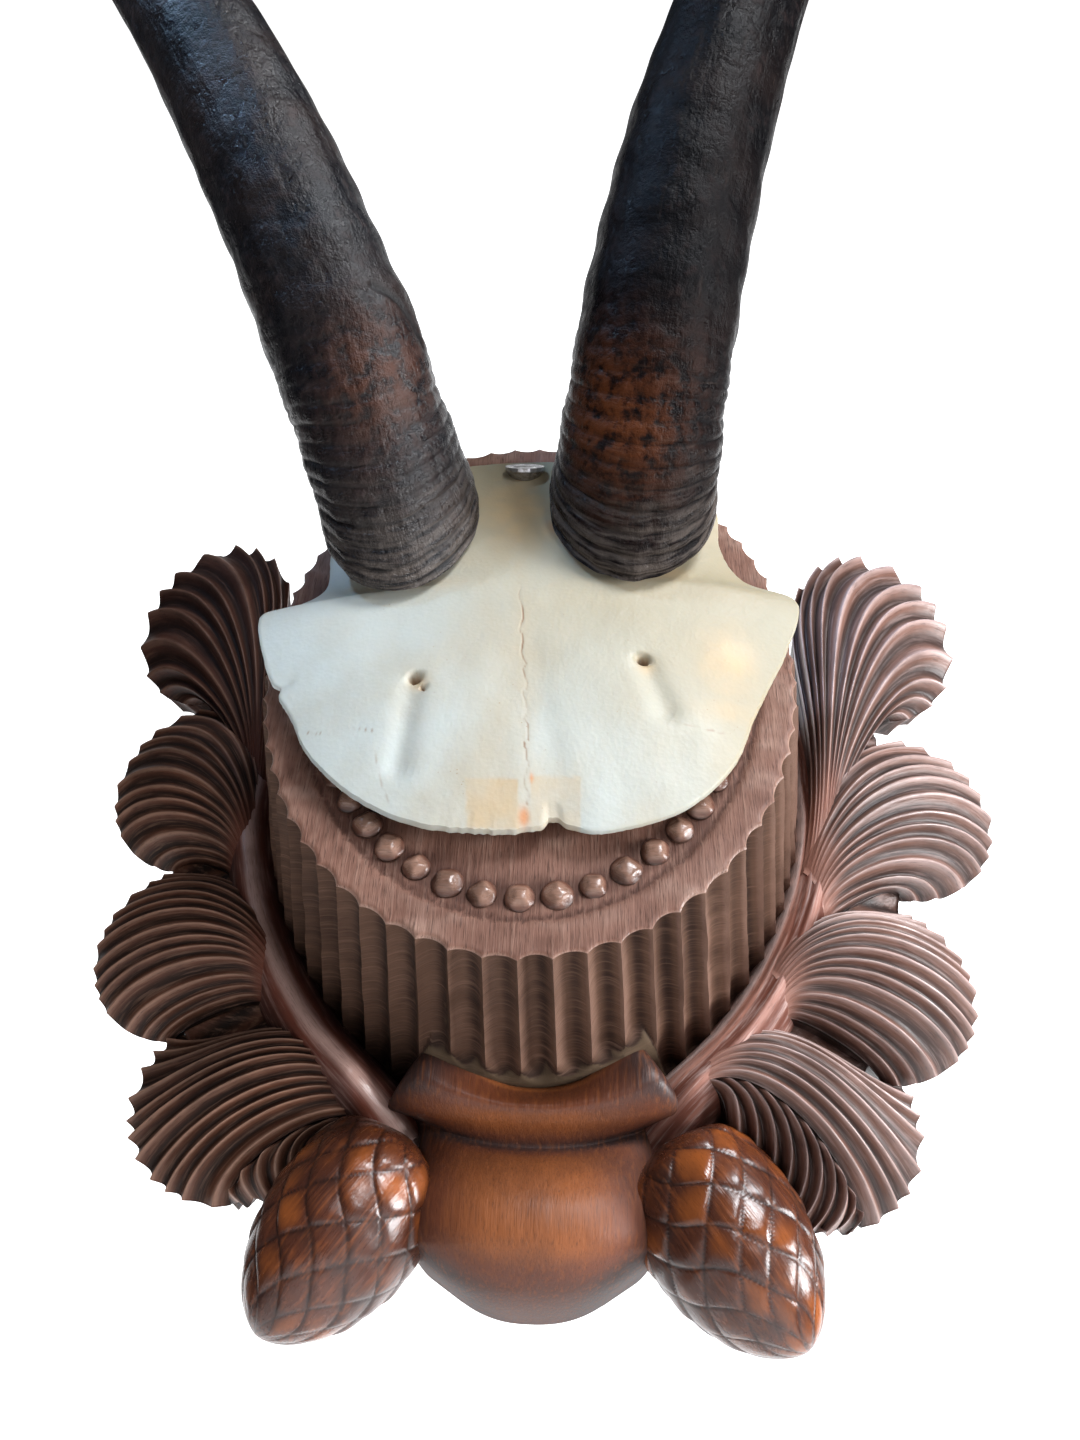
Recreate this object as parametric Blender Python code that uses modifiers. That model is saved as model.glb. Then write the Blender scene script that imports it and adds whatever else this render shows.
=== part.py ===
"""Chamois horn plaque: a carved wooden wall plaque with a skull plate, two horns and a screw.

Metres, +Z up. The flat back of the plaque lies in the plane y = 0 and its front looks along -Y.
The origin is on that back, behind the middle of the drum. "Out" is a distance in front of the back.
"""

import math
from collections import namedtuple

import bmesh
import bpy
import numpy as np

GAP = 0.0003

# The carved plaque
FACE_OUT = 0.056
FACE_HALF_WIDTH = 0.0485
FACE_HALF_HEIGHT = 0.0607
WALL_FLARE = math.radians(9.5)
FLUTES = 64
FLUTE_DEPTH = 0.0011
FLUTE_SAMPLES = 2
BACK_SPARE = 0.002

BEAD_INSET = 0.0105
BEAD_RADIUS = 0.0023
BEAD_HEIGHT = 0.0021
BEAD_PITCH = 0.0059
BEADS_STOP_Z = 0.018
BEAD_SIDES = 6
BEAD_ROWS = 4

# The stem on each side, from the lip upwards, with x outwards
STEM_COURSE = (
    (0.0200, -0.0745),
    (0.0390, -0.0570),
    (0.0515, -0.0370),
    (0.0590, -0.0150),
    (0.0618, 0.0060),
    (0.0635, 0.0260),
    (0.0660, 0.0440),
)
STEM_STATIONS = 13
STEM_HALF_WIDTH = (0.0078, 0.0066)
STEM_OUT = (0.0235, 0.0120)

# Each leaf lobe, with x outwards: the shares of the stem where its first and last rib start, the
# middle and radii of its round outline, the angles that the outline runs through, its ribs, how far
# its crest rises, how deep its pleats are and where across the ribs it folds.
Lobe = namedtuple("Lobe", "stem_shares middle radii angles ribs crest pleat fold")
LEFT_LOBES = (
    Lobe((0.96, 0.74), (0.0820, 0.0540), (0.0185, 0.0275), (158, -95), 12, 0.009, 0.0013, 0.42),
    Lobe((0.76, 0.45), (0.0745, 0.0040), (0.0195, 0.0225), (78, -92), 11, 0.009, 0.0009, 0.45),
    Lobe((0.50, 0.22), (0.0685, -0.0360), (0.0190, 0.0195), (66, -92), 11, 0.010, 0.0010, 0.45),
    Lobe((0.28, 0.02), (0.0520, -0.0660), (0.0210, 0.0190), (20, -142), 12, 0.008, 0.0013, 0.40),
)
RIGHT_LOBES = (
    Lobe((0.96, 0.74), (0.0815, 0.0515), (0.0195, 0.0275), (152, -88), 12, 0.010, 0.0017, 0.40),
    Lobe((0.76, 0.45), (0.0790, -0.0015), (0.0200, 0.0210), (82, -98), 11, 0.011, 0.0014, 0.58),
    Lobe((0.50, 0.22), (0.0680, -0.0420), (0.0190, 0.0190), (66, -95), 11, 0.012, 0.0017, 0.48),
    Lobe((0.28, 0.02), (0.0520, -0.0675), (0.0200, 0.0195), (22, -148), 12, 0.0115, 0.0019, 0.45),
)
LEAF_ROOT_OUT = 0.015
LEAF_EDGE_OUT = 0.006
LEAF_UNDERCUT = 0.86
LEAF_ROWS = 4

# The boss below the drum, its lip and the two cones
BOSS_MIDDLE = (0.0025, -0.0888)
BOSS_RADII = (0.0195, 0.0265, 0.0115)
BOSS_SQUARENESS = 2.3
BOSS_SIDES = 18
BOSS_ROWS = 10
LIP_ANGLES = (-111, -66)
LIP_RADIUS = 0.0044
LIP_OUT = 0.0158
LIP_DEPTH_SHARE = 1.5
LIP_CLEAR = 0.0094
LIP_STATIONS = 11
LIP_SIDES = 8

# The neck that carries the lip and the boss: heights, half widths and distances out
NECK_STATIONS = (
    (-0.0640, 0.0190, 0.0080),
    (-0.0690, 0.0210, 0.0100),
    (-0.0730, 0.0220, 0.0135),
    (-0.0785, 0.0205, 0.0165),
    (-0.0830, 0.0190, 0.0205),
    (-0.0880, 0.0180, 0.0225),
    (-0.0940, 0.0150, 0.0180),
)
Cone = namedtuple("Cone", "side top tip radius out")
CONES = (
    Cone("left", (-0.0187, -0.0745), (-0.0398, -0.1036), 0.0143, 0.0125),
    Cone("right", (0.0239, -0.0745), (0.0450, -0.1036), 0.0143, 0.0125),
)
CONE_WIDEST = 0.42
CONE_END = 1.04
CONE_SIDES = 16
CONE_ROWS = 12
CONE_SCALE_RISE = 0.0010

# The skull plate, seen from the front
PLATE_OUT = 0.0585
PLATE_EDGE = 0.0026
PLATE_DOME = 0.0052
PLATE_MIDDLE = (-0.0010, 0.0100)
PLATE_OUTLINE = (
    (-0.0502, 0.0045), (-0.0445, 0.0070), (-0.0390, 0.0120), (-0.0395, 0.0220), (-0.0385, 0.0330),
    (-0.0300, 0.0430), (-0.0160, 0.0480), (0.0005, 0.0500), (0.0150, 0.0490), (0.0290, 0.0460),
    (0.0360, 0.0360), (0.0362, 0.0240), (0.0400, 0.0150), (0.0494, 0.0098), (0.0462, -0.0020),
    (0.0425, -0.0100), (0.0390, -0.0175), (0.0345, -0.0278), (0.0257, -0.0365), (0.0132, -0.0408),
    (0.0060, -0.0400), (-0.0030, -0.0414), (-0.0160, -0.0403), (-0.0272, -0.0352),
    (-0.0362, -0.0268), (-0.0405, -0.0190), (-0.0437, -0.0140), (-0.0475, -0.0060),
)
PLATE_SAMPLES = 2
PAD_SIDES = 24
PLATE_RINGS = (1.0, 0.97, 0.84, 0.62, 0.34, 0.10)
PLATE_RIDGE = (-0.0035, 0.0400)
PLATE_RIDGE_RISE = 0.0008
PLATE_RIDGE_SIZE = (0.0042, 0.0052)

# The horns, whose first stretch and side lean are read for each of them
Horn = namedtuple("Horn", "name foot radius rise_angle rise_rate side_angle side_rate")
HORNS = (
    Horn("horn_left", (-0.0249, 0.0256), 0.0150, 43.4, 200, -17.6, -120),
    Horn("horn_right", (0.0188, 0.0296), 0.0157, 42.0, 280, 5.2, 120),
)
HORN_FOOT_OUT = 0.0672
HORN_LENGTH = 0.245
HOOK_START = 0.155
HOOK_END = 0.240
HOOK_TURN = 100
LEAN_FADES = (0.120, 0.190)
HORN_TAPER = 0.60
HORN_TIP_TAPER = 0.120
HORN_TIP_RADIUS = 0.0006
FOOT_SLIDE_FADES = 0.034
HORN_SIDES = 14
PLAIN_STATIONS = 13
RING_PITCH = 0.0052
RING_RISE = 0.022
RINGS_END = 0.060
PAD_RISE = 0.0014

# The screw behind the horns, tilted upwards
SCREW_AT = (-0.0024, 0.0444)
SCREW_HEAD_OUT = 0.0640
SCREW_TILT = math.radians(32)
SCREW_HEAD_RADIUS = 0.0040
SCREW_HEAD_RIM = 0.0007
SCREW_HEAD_CONE = 0.0026
SCREW_SHANK_RADIUS = 0.0019
SCREW_LENGTH = 0.034
SCREW_STEPS = 20
SCREW_HOLE_SIDES = 20
SCREW_CLEAR_ABOVE = 0.003
SCREW_CLEAR_BELOW = 0.001
SLOT_SIZE = (0.0046, 0.0009, 0.0013)


def clear_scene():
    for item in list(bpy.data.objects):
        bpy.data.objects.remove(item, do_unlink=True)


def new_collection(name, hidden=False):
    made = bpy.data.collections.new(name)
    bpy.context.scene.collection.children.link(made)
    made.hide_render = hidden
    return made


def new_material(name, colour, roughness, metallic=0.0):
    made = bpy.data.materials.new(name)
    made.use_nodes = True
    shader = made.node_tree.nodes["Principled BSDF"]
    shader.inputs["Base Color"].default_value = (*colour, 1.0)
    shader.inputs["Roughness"].default_value = roughness
    shader.inputs["Metallic"].default_value = metallic
    return made


def mesh_object(name, points, faces, home):
    """A mesh object from points and faces, with its faces turned outwards."""
    mesh = bpy.data.meshes.new(name)
    mesh.from_pydata([tuple(point) for point in points], [], faces)
    work = bmesh.new()
    work.from_mesh(mesh)
    bmesh.ops.recalc_face_normals(work, faces=work.faces)
    work.to_mesh(mesh)
    work.free()
    made = bpy.data.objects.new(name, mesh)
    home.objects.link(made)
    return made


def loft(name, rings, home):
    """A closed solid through rings of equally many points, with a cap on each end."""
    count = len(rings[0])
    points = [point for ring in rings for point in ring]
    faces = []
    for row in range(len(rings) - 1):
        for i in range(count):
            near = row * count + i
            beside = row * count + (i + 1) % count
            faces.append((near, beside, beside + count, near + count))
    faces.append(tuple(range(count)))
    faces.append(tuple(range(len(points) - count, len(points))))
    return mesh_object(name, points, faces, home)


def along(points, share, closed=False):
    """The point at this share of a smooth curve through the points."""
    points = np.array(points, float)
    spans = len(points) if closed else len(points) - 1
    place = share * spans
    span = min(int(place), spans - 1)
    t = place - span
    picks = [span - 1, span, span + 1, span + 2]
    if closed:
        picks = [pick % len(points) for pick in picks]
    else:
        picks = [min(max(pick, 0), len(points) - 1) for pick in picks]
    a, b, c, d = points[picks]
    bend = 2 * a - 5 * b + 4 * c - d
    twist = 3 * (b - c) + d - a
    return 0.5 * (2 * b + (c - a) * t + bend * t * t + twist * t * t * t)


def smooth_step(share):
    share = min(max(share, 0.0), 1.0)
    return share * share * (3 - 2 * share)


def mixed(first, last, share):
    return first + (last - first) * share


def ellipse_angles(half_width, half_height, count, start=0.0, turn=2 * math.pi):
    """Angles that step round an ellipse in equal lengths of its edge."""
    fine = np.linspace(start, start + turn, 2000)
    steps = np.hypot(half_width * np.sin(fine), half_height * np.cos(fine))
    length = np.concatenate([[0], np.cumsum((steps[1:] + steps[:-1]) / 2)])
    wanted = np.linspace(0, length[-1], count, endpoint=False)
    return np.interp(wanted, length, fine)


def on_ellipse(half_width, half_height, angle):
    """The point of an ellipse at this angle, and its outward direction there."""
    point = np.array([half_width * math.cos(angle), half_height * math.sin(angle)])
    normal = np.array([math.cos(angle) / half_width, math.sin(angle) / half_height])
    return point, normal / np.linalg.norm(normal)


def ellipse_length(half_width, half_height):
    fine = np.linspace(0, 2 * math.pi, 2000)
    return float(np.hypot(np.diff(half_width * np.cos(fine)), np.diff(half_height * np.sin(fine))).sum())


def make_drum(home):
    """The oval drum: a flared wall with hollow flutes that meet in sharp ridges, and a flat face."""
    angles = ellipse_angles(FACE_HALF_WIDTH, FACE_HALF_HEIGHT, FLUTES * FLUTE_SAMPLES)
    rings = []
    for out in (FACE_OUT, -BACK_SPARE):
        ring = []
        for i, angle in enumerate(angles):
            across = (i % FLUTE_SAMPLES) / FLUTE_SAMPLES
            hollow = FLUTE_DEPTH * (1 - (2 * across - 1) ** 2)
            point, normal = on_ellipse(FACE_HALF_WIDTH, FACE_HALF_HEIGHT, angle)
            point = point + normal * ((FACE_OUT - out) * math.tan(WALL_FLARE) - hollow)
            ring.append((point[0], -out, point[1]))
        rings.append(ring)
    return loft("drum", rings, home)


def make_beads(home):
    """The row of carved beads on the face, open where the skull plate covers its top."""
    half_width = FACE_HALF_WIDTH - BEAD_INSET
    half_height = FACE_HALF_HEIGHT - BEAD_INSET
    count = round(ellipse_length(half_width, half_height) / BEAD_PITCH)
    for angle in ellipse_angles(half_width, half_height, count, start=-math.pi / 2):
        place, _ = on_ellipse(half_width, half_height, angle)
        if place[1] > BEADS_STOP_Z:
            continue
        work = bmesh.new()
        bmesh.ops.create_uvsphere(work, u_segments=BEAD_SIDES, v_segments=BEAD_ROWS, radius=1.0)
        mesh = bpy.data.meshes.new("bead")
        for vertex in work.verts:
            x, y, z = vertex.co
            vertex.co = (place[0] + BEAD_RADIUS * x, -FACE_OUT - BEAD_HEIGHT * z, place[1] + BEAD_RADIUS * y)
        bmesh.ops.recalc_face_normals(work, faces=work.faces)
        work.to_mesh(mesh)
        work.free()
        home.objects.link(bpy.data.objects.new("bead", mesh))


def make_stem(name, outwards, spare, home):
    """One stem that hugs the foot of the drum, half round and tapering upwards."""
    section = ((-1.0, None), (-1.0, 0.55), (-0.6, 0.88), (0.0, 1.0), (0.6, 0.88), (1.0, 0.55), (1.0, None))
    rings = []
    for station in range(STEM_STATIONS):
        share = station / (STEM_STATIONS - 1)
        middle = along(STEM_COURSE, share)
        ahead = along(STEM_COURSE, min(share + 0.01, 1.0)) - along(STEM_COURSE, max(share - 0.01, 0.0))
        ahead = ahead / np.linalg.norm(ahead)
        across = np.array([ahead[1], -ahead[0]])
        half_width = mixed(*STEM_HALF_WIDTH, share)
        height = mixed(*STEM_OUT, share)
        ring = []
        for side, level in section:
            x, z = middle + across * side * half_width
            out = -spare if level is None else height * level
            ring.append((outwards * x, -out, z))
        rings.append(ring)
    return loft(name, rings, home)


def rib_point(lobe, u, v):
    """A point of a lobe in the plaque's plane: u runs from stem to edge, v across the ribs."""
    share = mixed(*lobe.stem_shares, v)
    start = along(STEM_COURSE, share)
    upwards = along(STEM_COURSE, min(share + 0.02, 1.0)) - along(STEM_COURSE, share - 0.02)
    upwards = upwards / np.linalg.norm(upwards)
    angle = math.radians(mixed(*lobe.angles, v))
    rib = abs(math.sin(math.pi * v * lobe.ribs))
    reach = 1.0 - 0.045 * (1 - rib)
    radial = np.array([lobe.radii[0] * math.cos(angle), lobe.radii[1] * math.sin(angle)])
    end = np.array(lobe.middle) + radial * reach
    outwards = radial / np.linalg.norm(radial)
    droop = math.radians(-18)
    ending = np.array([
        outwards[0] * math.cos(droop) - outwards[1] * math.sin(droop),
        outwards[0] * math.sin(droop) + outwards[1] * math.cos(droop),
    ])
    span = np.linalg.norm(end - start)
    first = start + upwards * span * 0.42
    second = end - ending * span * 0.36
    w = 1 - u
    return w**3 * start + 3 * w * w * u * first + 3 * w * u * u * second + u**3 * end


def rib_out(lobe, u, v):
    """How far the lobe's surface stands out there: a dome with a fold, pleated into ribs."""
    if v < lobe.fold:
        bulge = math.sin(math.pi / 2 * v / lobe.fold) ** 0.8
    else:
        bulge = math.cos(math.pi / 2 * (v - lobe.fold) / (1 - lobe.fold)) ** 0.8
    out = LEAF_EDGE_OUT + (LEAF_ROOT_OUT - LEAF_EDGE_OUT) * (1 - u) ** 1.5
    out += lobe.crest * math.sin(math.pi * u**0.9) ** 0.9 * (0.25 + 0.75 * bulge)
    rib = abs(math.sin(math.pi * v * lobe.ribs)) - 0.5
    return out + 2 * lobe.pleat * rib * (0.35 + 0.65 * u)


def make_leaf(name, lobe, outwards, spare, home):
    """One lobe as a solid: ribbed front, undercut edge and a back, spare behind the wall's plane."""
    columns = lobe.ribs * 2
    points = []
    for row in range(LEAF_ROWS + 1):
        u = row / LEAF_ROWS
        for column in range(columns + 1):
            v = column / columns
            x, z = rib_point(lobe, u, v)
            points.append((outwards * x, -rib_out(lobe, u, v), z))
    width = columns + 1
    faces = []
    for row in range(LEAF_ROWS):
        for column in range(columns):
            near = row * width + column
            faces.append((near, near + 1, near + width + 1, near + width))
    border = list(range(width))
    border += [row * width + columns for row in range(1, LEAF_ROWS + 1)]
    border += [LEAF_ROWS * width + column for column in range(columns - 1, -1, -1)]
    border += [row * width for row in range(LEAF_ROWS - 1, 0, -1)]
    root = along(STEM_COURSE, mixed(*lobe.stem_shares, 0.5))
    back = len(points)
    for index in border:
        x, _, z = points[index]
        x = outwards * root[0] + (x - outwards * root[0]) * LEAF_UNDERCUT
        z = root[1] + (z - root[1]) * LEAF_UNDERCUT
        points.append((x, spare, z))
    for i, index in enumerate(border):
        after = (i + 1) % len(border)
        faces.append((index, border[after], back + after, back + i))
    faces.append(tuple(back + i for i in range(len(border))))
    return mesh_object(name, points, faces, home)


def make_boss(home):
    """The smooth round boss below the drum."""
    work = bmesh.new()
    bmesh.ops.create_uvsphere(work, u_segments=BOSS_SIDES, v_segments=BOSS_ROWS, radius=1.0)
    for vertex in work.verts:
        x, y, z = vertex.co
        squared = (abs(x) ** BOSS_SQUARENESS + abs(z) ** BOSS_SQUARENESS) ** (1 / BOSS_SQUARENESS)
        round_size = math.hypot(x, z)
        fuller = round_size / squared if squared > 0 else 1.0
        vertex.co = (
            BOSS_MIDDLE[0] + BOSS_RADII[0] * x * fuller,
            BOSS_RADII[1] * y,
            BOSS_MIDDLE[1] + BOSS_RADII[2] * z * fuller,
        )
    bmesh.ops.recalc_face_normals(work, faces=work.faces)
    mesh = bpy.data.meshes.new("boss")
    work.to_mesh(mesh)
    work.free()
    home.objects.link(bpy.data.objects.new("boss", mesh))


def make_neck(home):
    """The body between the drum and the boss: rounded sections stacked downwards."""
    section = ((-1.0, None), (-1.0, 0.6), (-0.8, 0.92), (-0.4, 1.0), (0.4, 1.0), (0.8, 0.92), (1.0, 0.6), (1.0, None))
    rings = []
    for z, half_width, out in NECK_STATIONS:
        ring = []
        for side, level in section:
            x = BOSS_MIDDLE[0] + side * half_width
            ring.append((x, 3 * BACK_SPARE if level is None else -out * level, z))
        rings.append(ring)
    loft("neck", rings, home)


def make_lip(home):
    """The lip over the boss, a bar with pointed ends that follows the foot of the drum."""
    spread = (FACE_OUT - LIP_OUT) * math.tan(WALL_FLARE) + LIP_CLEAR
    rings = []
    for station in range(LIP_STATIONS):
        share = station / (LIP_STATIONS - 1)
        angle = math.radians(mixed(*LIP_ANGLES, share))
        middle, normal = on_ellipse(FACE_HALF_WIDTH + spread, FACE_HALF_HEIGHT + spread, angle)
        radius = LIP_RADIUS * (0.25 + 0.75 * math.sin(math.pi * share) ** 0.6)
        ring = []
        for i in range(LIP_SIDES):
            turn = 2 * math.pi * i / LIP_SIDES
            x, z = middle + normal * radius * math.cos(turn)
            ring.append((x, -LIP_OUT - LIP_DEPTH_SHARE * radius * math.sin(turn), z))
        rings.append(ring)
    loft("lip", rings, home)


def make_cone(cone, home):
    """A closed cone with a lattice of raised scales, lying against the boss."""
    top = np.array([cone.top[0], -cone.out, cone.top[1]])
    tip = np.array([cone.tip[0], -cone.out, cone.tip[1]])
    ahead = (tip - top) / np.linalg.norm(tip - top)
    side = np.array([ahead[2], 0.0, -ahead[0]])
    front = np.array([0.0, -1.0, 0.0])
    rings = []
    for row in range(CONE_ROWS + 1):
        share = row / CONE_ROWS * (CONE_END - 0.01)
        past = (share - CONE_WIDEST) / (CONE_END - CONE_WIDEST)
        bulge = (1 - past * past) ** 0.6
        ring = []
        for i in range(CONE_SIDES):
            turn = 2 * math.pi * (i + 0.5 * (row % 2)) / CONE_SIDES
            raised = row % 2 == 0 and (i + row // 2) % 2 == 0
            rise = CONE_SCALE_RISE if raised and 0 < row < CONE_ROWS else 0.0
            radius = cone.radius * bulge + rise
            middle = mixed(top, tip, share)
            ring.append(middle + radius * (math.cos(turn) * side + math.sin(turn) * front))
        rings.append(ring)
    loft(f"cone_{cone.side}", rings, home)


def box(name, middle, size, home):
    work = bmesh.new()
    bmesh.ops.create_cube(work, size=1.0)
    for vertex in work.verts:
        vertex.co = [middle[i] + vertex.co[i] * size[i] for i in range(3)]
    mesh = bpy.data.meshes.new(name)
    work.to_mesh(mesh)
    work.free()
    made = bpy.data.objects.new(name, mesh)
    home.objects.link(made)
    return made


def screw_frame():
    """The screw's way out of the wall, and the place of its head's top."""
    way_out = np.array([0.0, -math.cos(SCREW_TILT), math.sin(SCREW_TILT)])
    return way_out, np.array([SCREW_AT[0], -SCREW_HEAD_OUT, SCREW_AT[1]])


def make_screw_hole(home):
    """The cutter for the screw's hole: a turned shape with room around the shank and the head."""
    way_out, head = screw_frame()
    side = np.array([1.0, 0.0, 0.0])
    up = np.cross(way_out, side)
    wide = SCREW_HEAD_RADIUS + GAP
    narrow = SCREW_SHANK_RADIUS + GAP
    profile = (
        (SCREW_CLEAR_ABOVE, wide),
        (-SCREW_HEAD_RIM - GAP, wide),
        (-SCREW_HEAD_RIM - SCREW_HEAD_CONE - GAP, narrow),
        (-SCREW_LENGTH - SCREW_CLEAR_BELOW, narrow),
    )
    rings = []
    for distance, radius in profile:
        ring = []
        for i in range(SCREW_HOLE_SIDES):
            turn = 2 * math.pi * i / SCREW_HOLE_SIDES
            ring.append(head + way_out * distance + radius * (math.cos(turn) * side + math.sin(turn) * up))
        rings.append(ring)
    return loft("screw_hole", rings, home)


def apply_boolean(target, operation, other=None, group=None, solver="EXACT"):
    """Joins or cuts the target and applies the result."""
    change = target.modifiers.new(operation.lower(), "BOOLEAN")
    change.operation = operation
    change.solver = solver
    if group is None:
        change.object = other
    else:
        change.operand_type = "COLLECTION"
        change.collection = group
    bpy.context.view_layer.update()
    graph = bpy.context.evaluated_depsgraph_get()
    result = bpy.data.meshes.new_from_object(target.evaluated_get(graph))
    target.modifiers.remove(change)
    target.data = result


def keep_outer_surface(target):
    """Deletes the small closed surfaces that a join leaves inside the wood, which make it hollow."""
    work = bmesh.new()
    work.from_mesh(target.data)
    unseen = set(work.verts)
    shells = []
    while unseen:
        start = unseen.pop()
        shell = [start]
        waiting = [start]
        while waiting:
            for edge in waiting.pop().link_edges:
                for vertex in edge.verts:
                    if vertex in unseen:
                        unseen.remove(vertex)
                        shell.append(vertex)
                        waiting.append(vertex)
        shells.append(shell)
    shells.sort(key=len)
    for shell in shells[:-1]:
        bmesh.ops.delete(work, geom=shell, context="VERTS")
    work.to_mesh(target.data)
    work.free()


def make_carved_plaque(parts, pieces, cutters):
    """The whole carving as one piece of wood: all its forms joined and cut off flat at the back."""
    plaque = make_drum(parts)
    plaque.name = "carved_plaque"
    make_beads(pieces)
    for outwards, side, lobes in ((-1, "left", LEFT_LOBES), (1, "right", RIGHT_LOBES)):
        make_stem(f"stem_{side}", outwards, 2.5 * BACK_SPARE, pieces)
        for number, lobe in enumerate(lobes, 1):
            make_leaf(f"leaf_{side}_{number}", lobe, outwards, (1 + number / 4) * BACK_SPARE, pieces)
    make_boss(pieces)
    make_neck(pieces)
    make_lip(pieces)
    for cone in CONES:
        make_cone(cone, pieces)
    apply_boolean(plaque, "UNION", group=pieces, solver="MANIFOLD")
    size = 0.4
    wall = box("wall", (0.0, size / 2, 0.0), (size, size, size), cutters)
    apply_boolean(plaque, "DIFFERENCE", other=wall, solver="MANIFOLD")
    keep_outer_surface(plaque)
    apply_boolean(plaque, "DIFFERENCE", other=bpy.data.objects["screw_hole"], solver="MANIFOLD")
    return plaque


def plate_out(x, z, ring):
    """How far the front of the skull plate stands out: a low dome and the ridge between the horns."""
    out = PLATE_OUT + PLATE_EDGE + PLATE_DOME * (1 - ring**2.4)
    across = (x - PLATE_RIDGE[0]) / PLATE_RIDGE_SIZE[0]
    along_z = (z - PLATE_RIDGE[1]) / PLATE_RIDGE_SIZE[1]
    return out + PLATE_RIDGE_RISE * math.exp(-across * across - along_z * along_z)


def make_skull_plate(parts, cutters):
    """The sawn-off front of the skull, with a flat pad for each horn and a hole for the screw."""
    count = len(PLATE_OUTLINE) * PLATE_SAMPLES
    outline = [along(PLATE_OUTLINE, i / count, closed=True) for i in range(count)]
    middle = np.array(PLATE_MIDDLE)
    rings = [[(point[0], -PLATE_OUT, point[1]) for point in outline]]
    for share in PLATE_RINGS:
        ring = []
        for point in outline:
            x, z = middle + (point - middle) * share
            ring.append((x, -plate_out(x, z, share), z))
        rings.append(ring)
    plate = loft("skull_plate", rings, parts)
    for horn in HORNS:
        pad_radius = (horn.radius * 0.97, horn.radius * 1.02 / math.cos(math.radians(horn.rise_angle)))
        pad = []
        for out, grow in ((HORN_FOOT_OUT - GAP, 1.0), (HORN_FOOT_OUT - PAD_RISE * 4, 1.08)):
            ring = []
            for i in range(PAD_SIDES):
                turn = 2 * math.pi * i / PAD_SIDES
                x = horn.foot[0] + pad_radius[0] * grow * math.cos(turn)
                z = horn.foot[1] + pad_radius[1] * grow * math.sin(turn)
                ring.append((x, -out, z))
            pad.append(ring)
        apply_boolean(plate, "UNION", other=loft(f"pad_{horn.name}", pad, cutters))
    apply_boolean(plate, "DIFFERENCE", other=bpy.data.objects["screw_hole"])
    return plate


def horn_stations():
    """Distances along a horn: close where the growth rings show, wider beyond them."""
    ringed = np.arange(0.0, RINGS_END, RING_PITCH / 2)
    plain = np.linspace(RINGS_END, HORN_LENGTH, PLAIN_STATIONS)
    return np.concatenate([ringed, plain])


def horn_course(horn, distances):
    """The horn's middle at each distance, and its direction there."""
    fine = np.linspace(0, HORN_LENGTH, 481)
    step = fine[1] - fine[0]
    place = np.array([horn.foot[0], -HORN_FOOT_OUT, horn.foot[1]])
    places = []
    ways = []
    for distance in fine:
        hook = smooth_step((distance - HOOK_START) / (HOOK_END - HOOK_START))
        rise = math.radians(horn.rise_angle + horn.rise_rate * distance + HOOK_TURN * hook)
        fade = 1 - smooth_step((distance - LEAN_FADES[0]) / (LEAN_FADES[1] - LEAN_FADES[0]))
        side = math.radians((horn.side_angle + horn.side_rate * min(distance, LEAN_FADES[0])) * fade)
        way = np.array([
            math.sin(side),
            -math.cos(rise) * math.cos(side),
            math.sin(rise) * math.cos(side),
        ])
        places.append(place)
        ways.append(way)
        place = place + way * step
    places = np.array(places)
    ways = np.array(ways)
    found = [np.interp(distances, fine, places[:, i]) for i in range(3)]
    turned = [np.interp(distances, fine, ways[:, i]) for i in range(3)]
    return np.stack(found, axis=1), np.stack(turned, axis=1)


def horn_radius(horn, distance):
    """The horn's thickness: an even taper, then the tip, with growth rings near the foot."""
    radius = horn.radius * (1 - HORN_TAPER * (distance / HORN_LENGTH) ** 1.3)
    past = (distance - HORN_TIP_TAPER) / (HORN_LENGTH - HORN_TIP_TAPER)
    if past > 0:
        radius *= max(1 - past**2.2, 0.0) ** 0.8
    if distance < RINGS_END:
        radius *= 1 + RING_RISE * (math.cos(2 * math.pi * distance / RING_PITCH) - 1) / 2
    return max(radius, HORN_TIP_RADIUS)


def make_horn(horn, parts):
    """One horn: rings of points along its hooked course, cut obliquely where it meets the bone."""
    distances = horn_stations()
    places, ways = horn_course(horn, distances)
    rings = []
    for distance, place, way in zip(distances, places, ways):
        way = way / np.linalg.norm(way)
        side = np.array([1.0, 0.0, 0.0]) - way * way[0]
        side = side / np.linalg.norm(side)
        up = np.cross(side, way)
        radius = horn_radius(horn, distance)
        slide_share = max(1 - distance / FOOT_SLIDE_FADES, 0.0)
        ring = []
        for i in range(HORN_SIDES):
            turn = 2 * math.pi * i / HORN_SIDES
            offset = radius * (math.cos(turn) * side + math.sin(turn) * up)
            slide = -offset[1] / way[1] * slide_share
            ring.append(place + offset + slide * np.array([0.0, way[1], way[2]]))
        rings.append(ring)
    return loft(horn.name, rings, parts)


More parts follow.
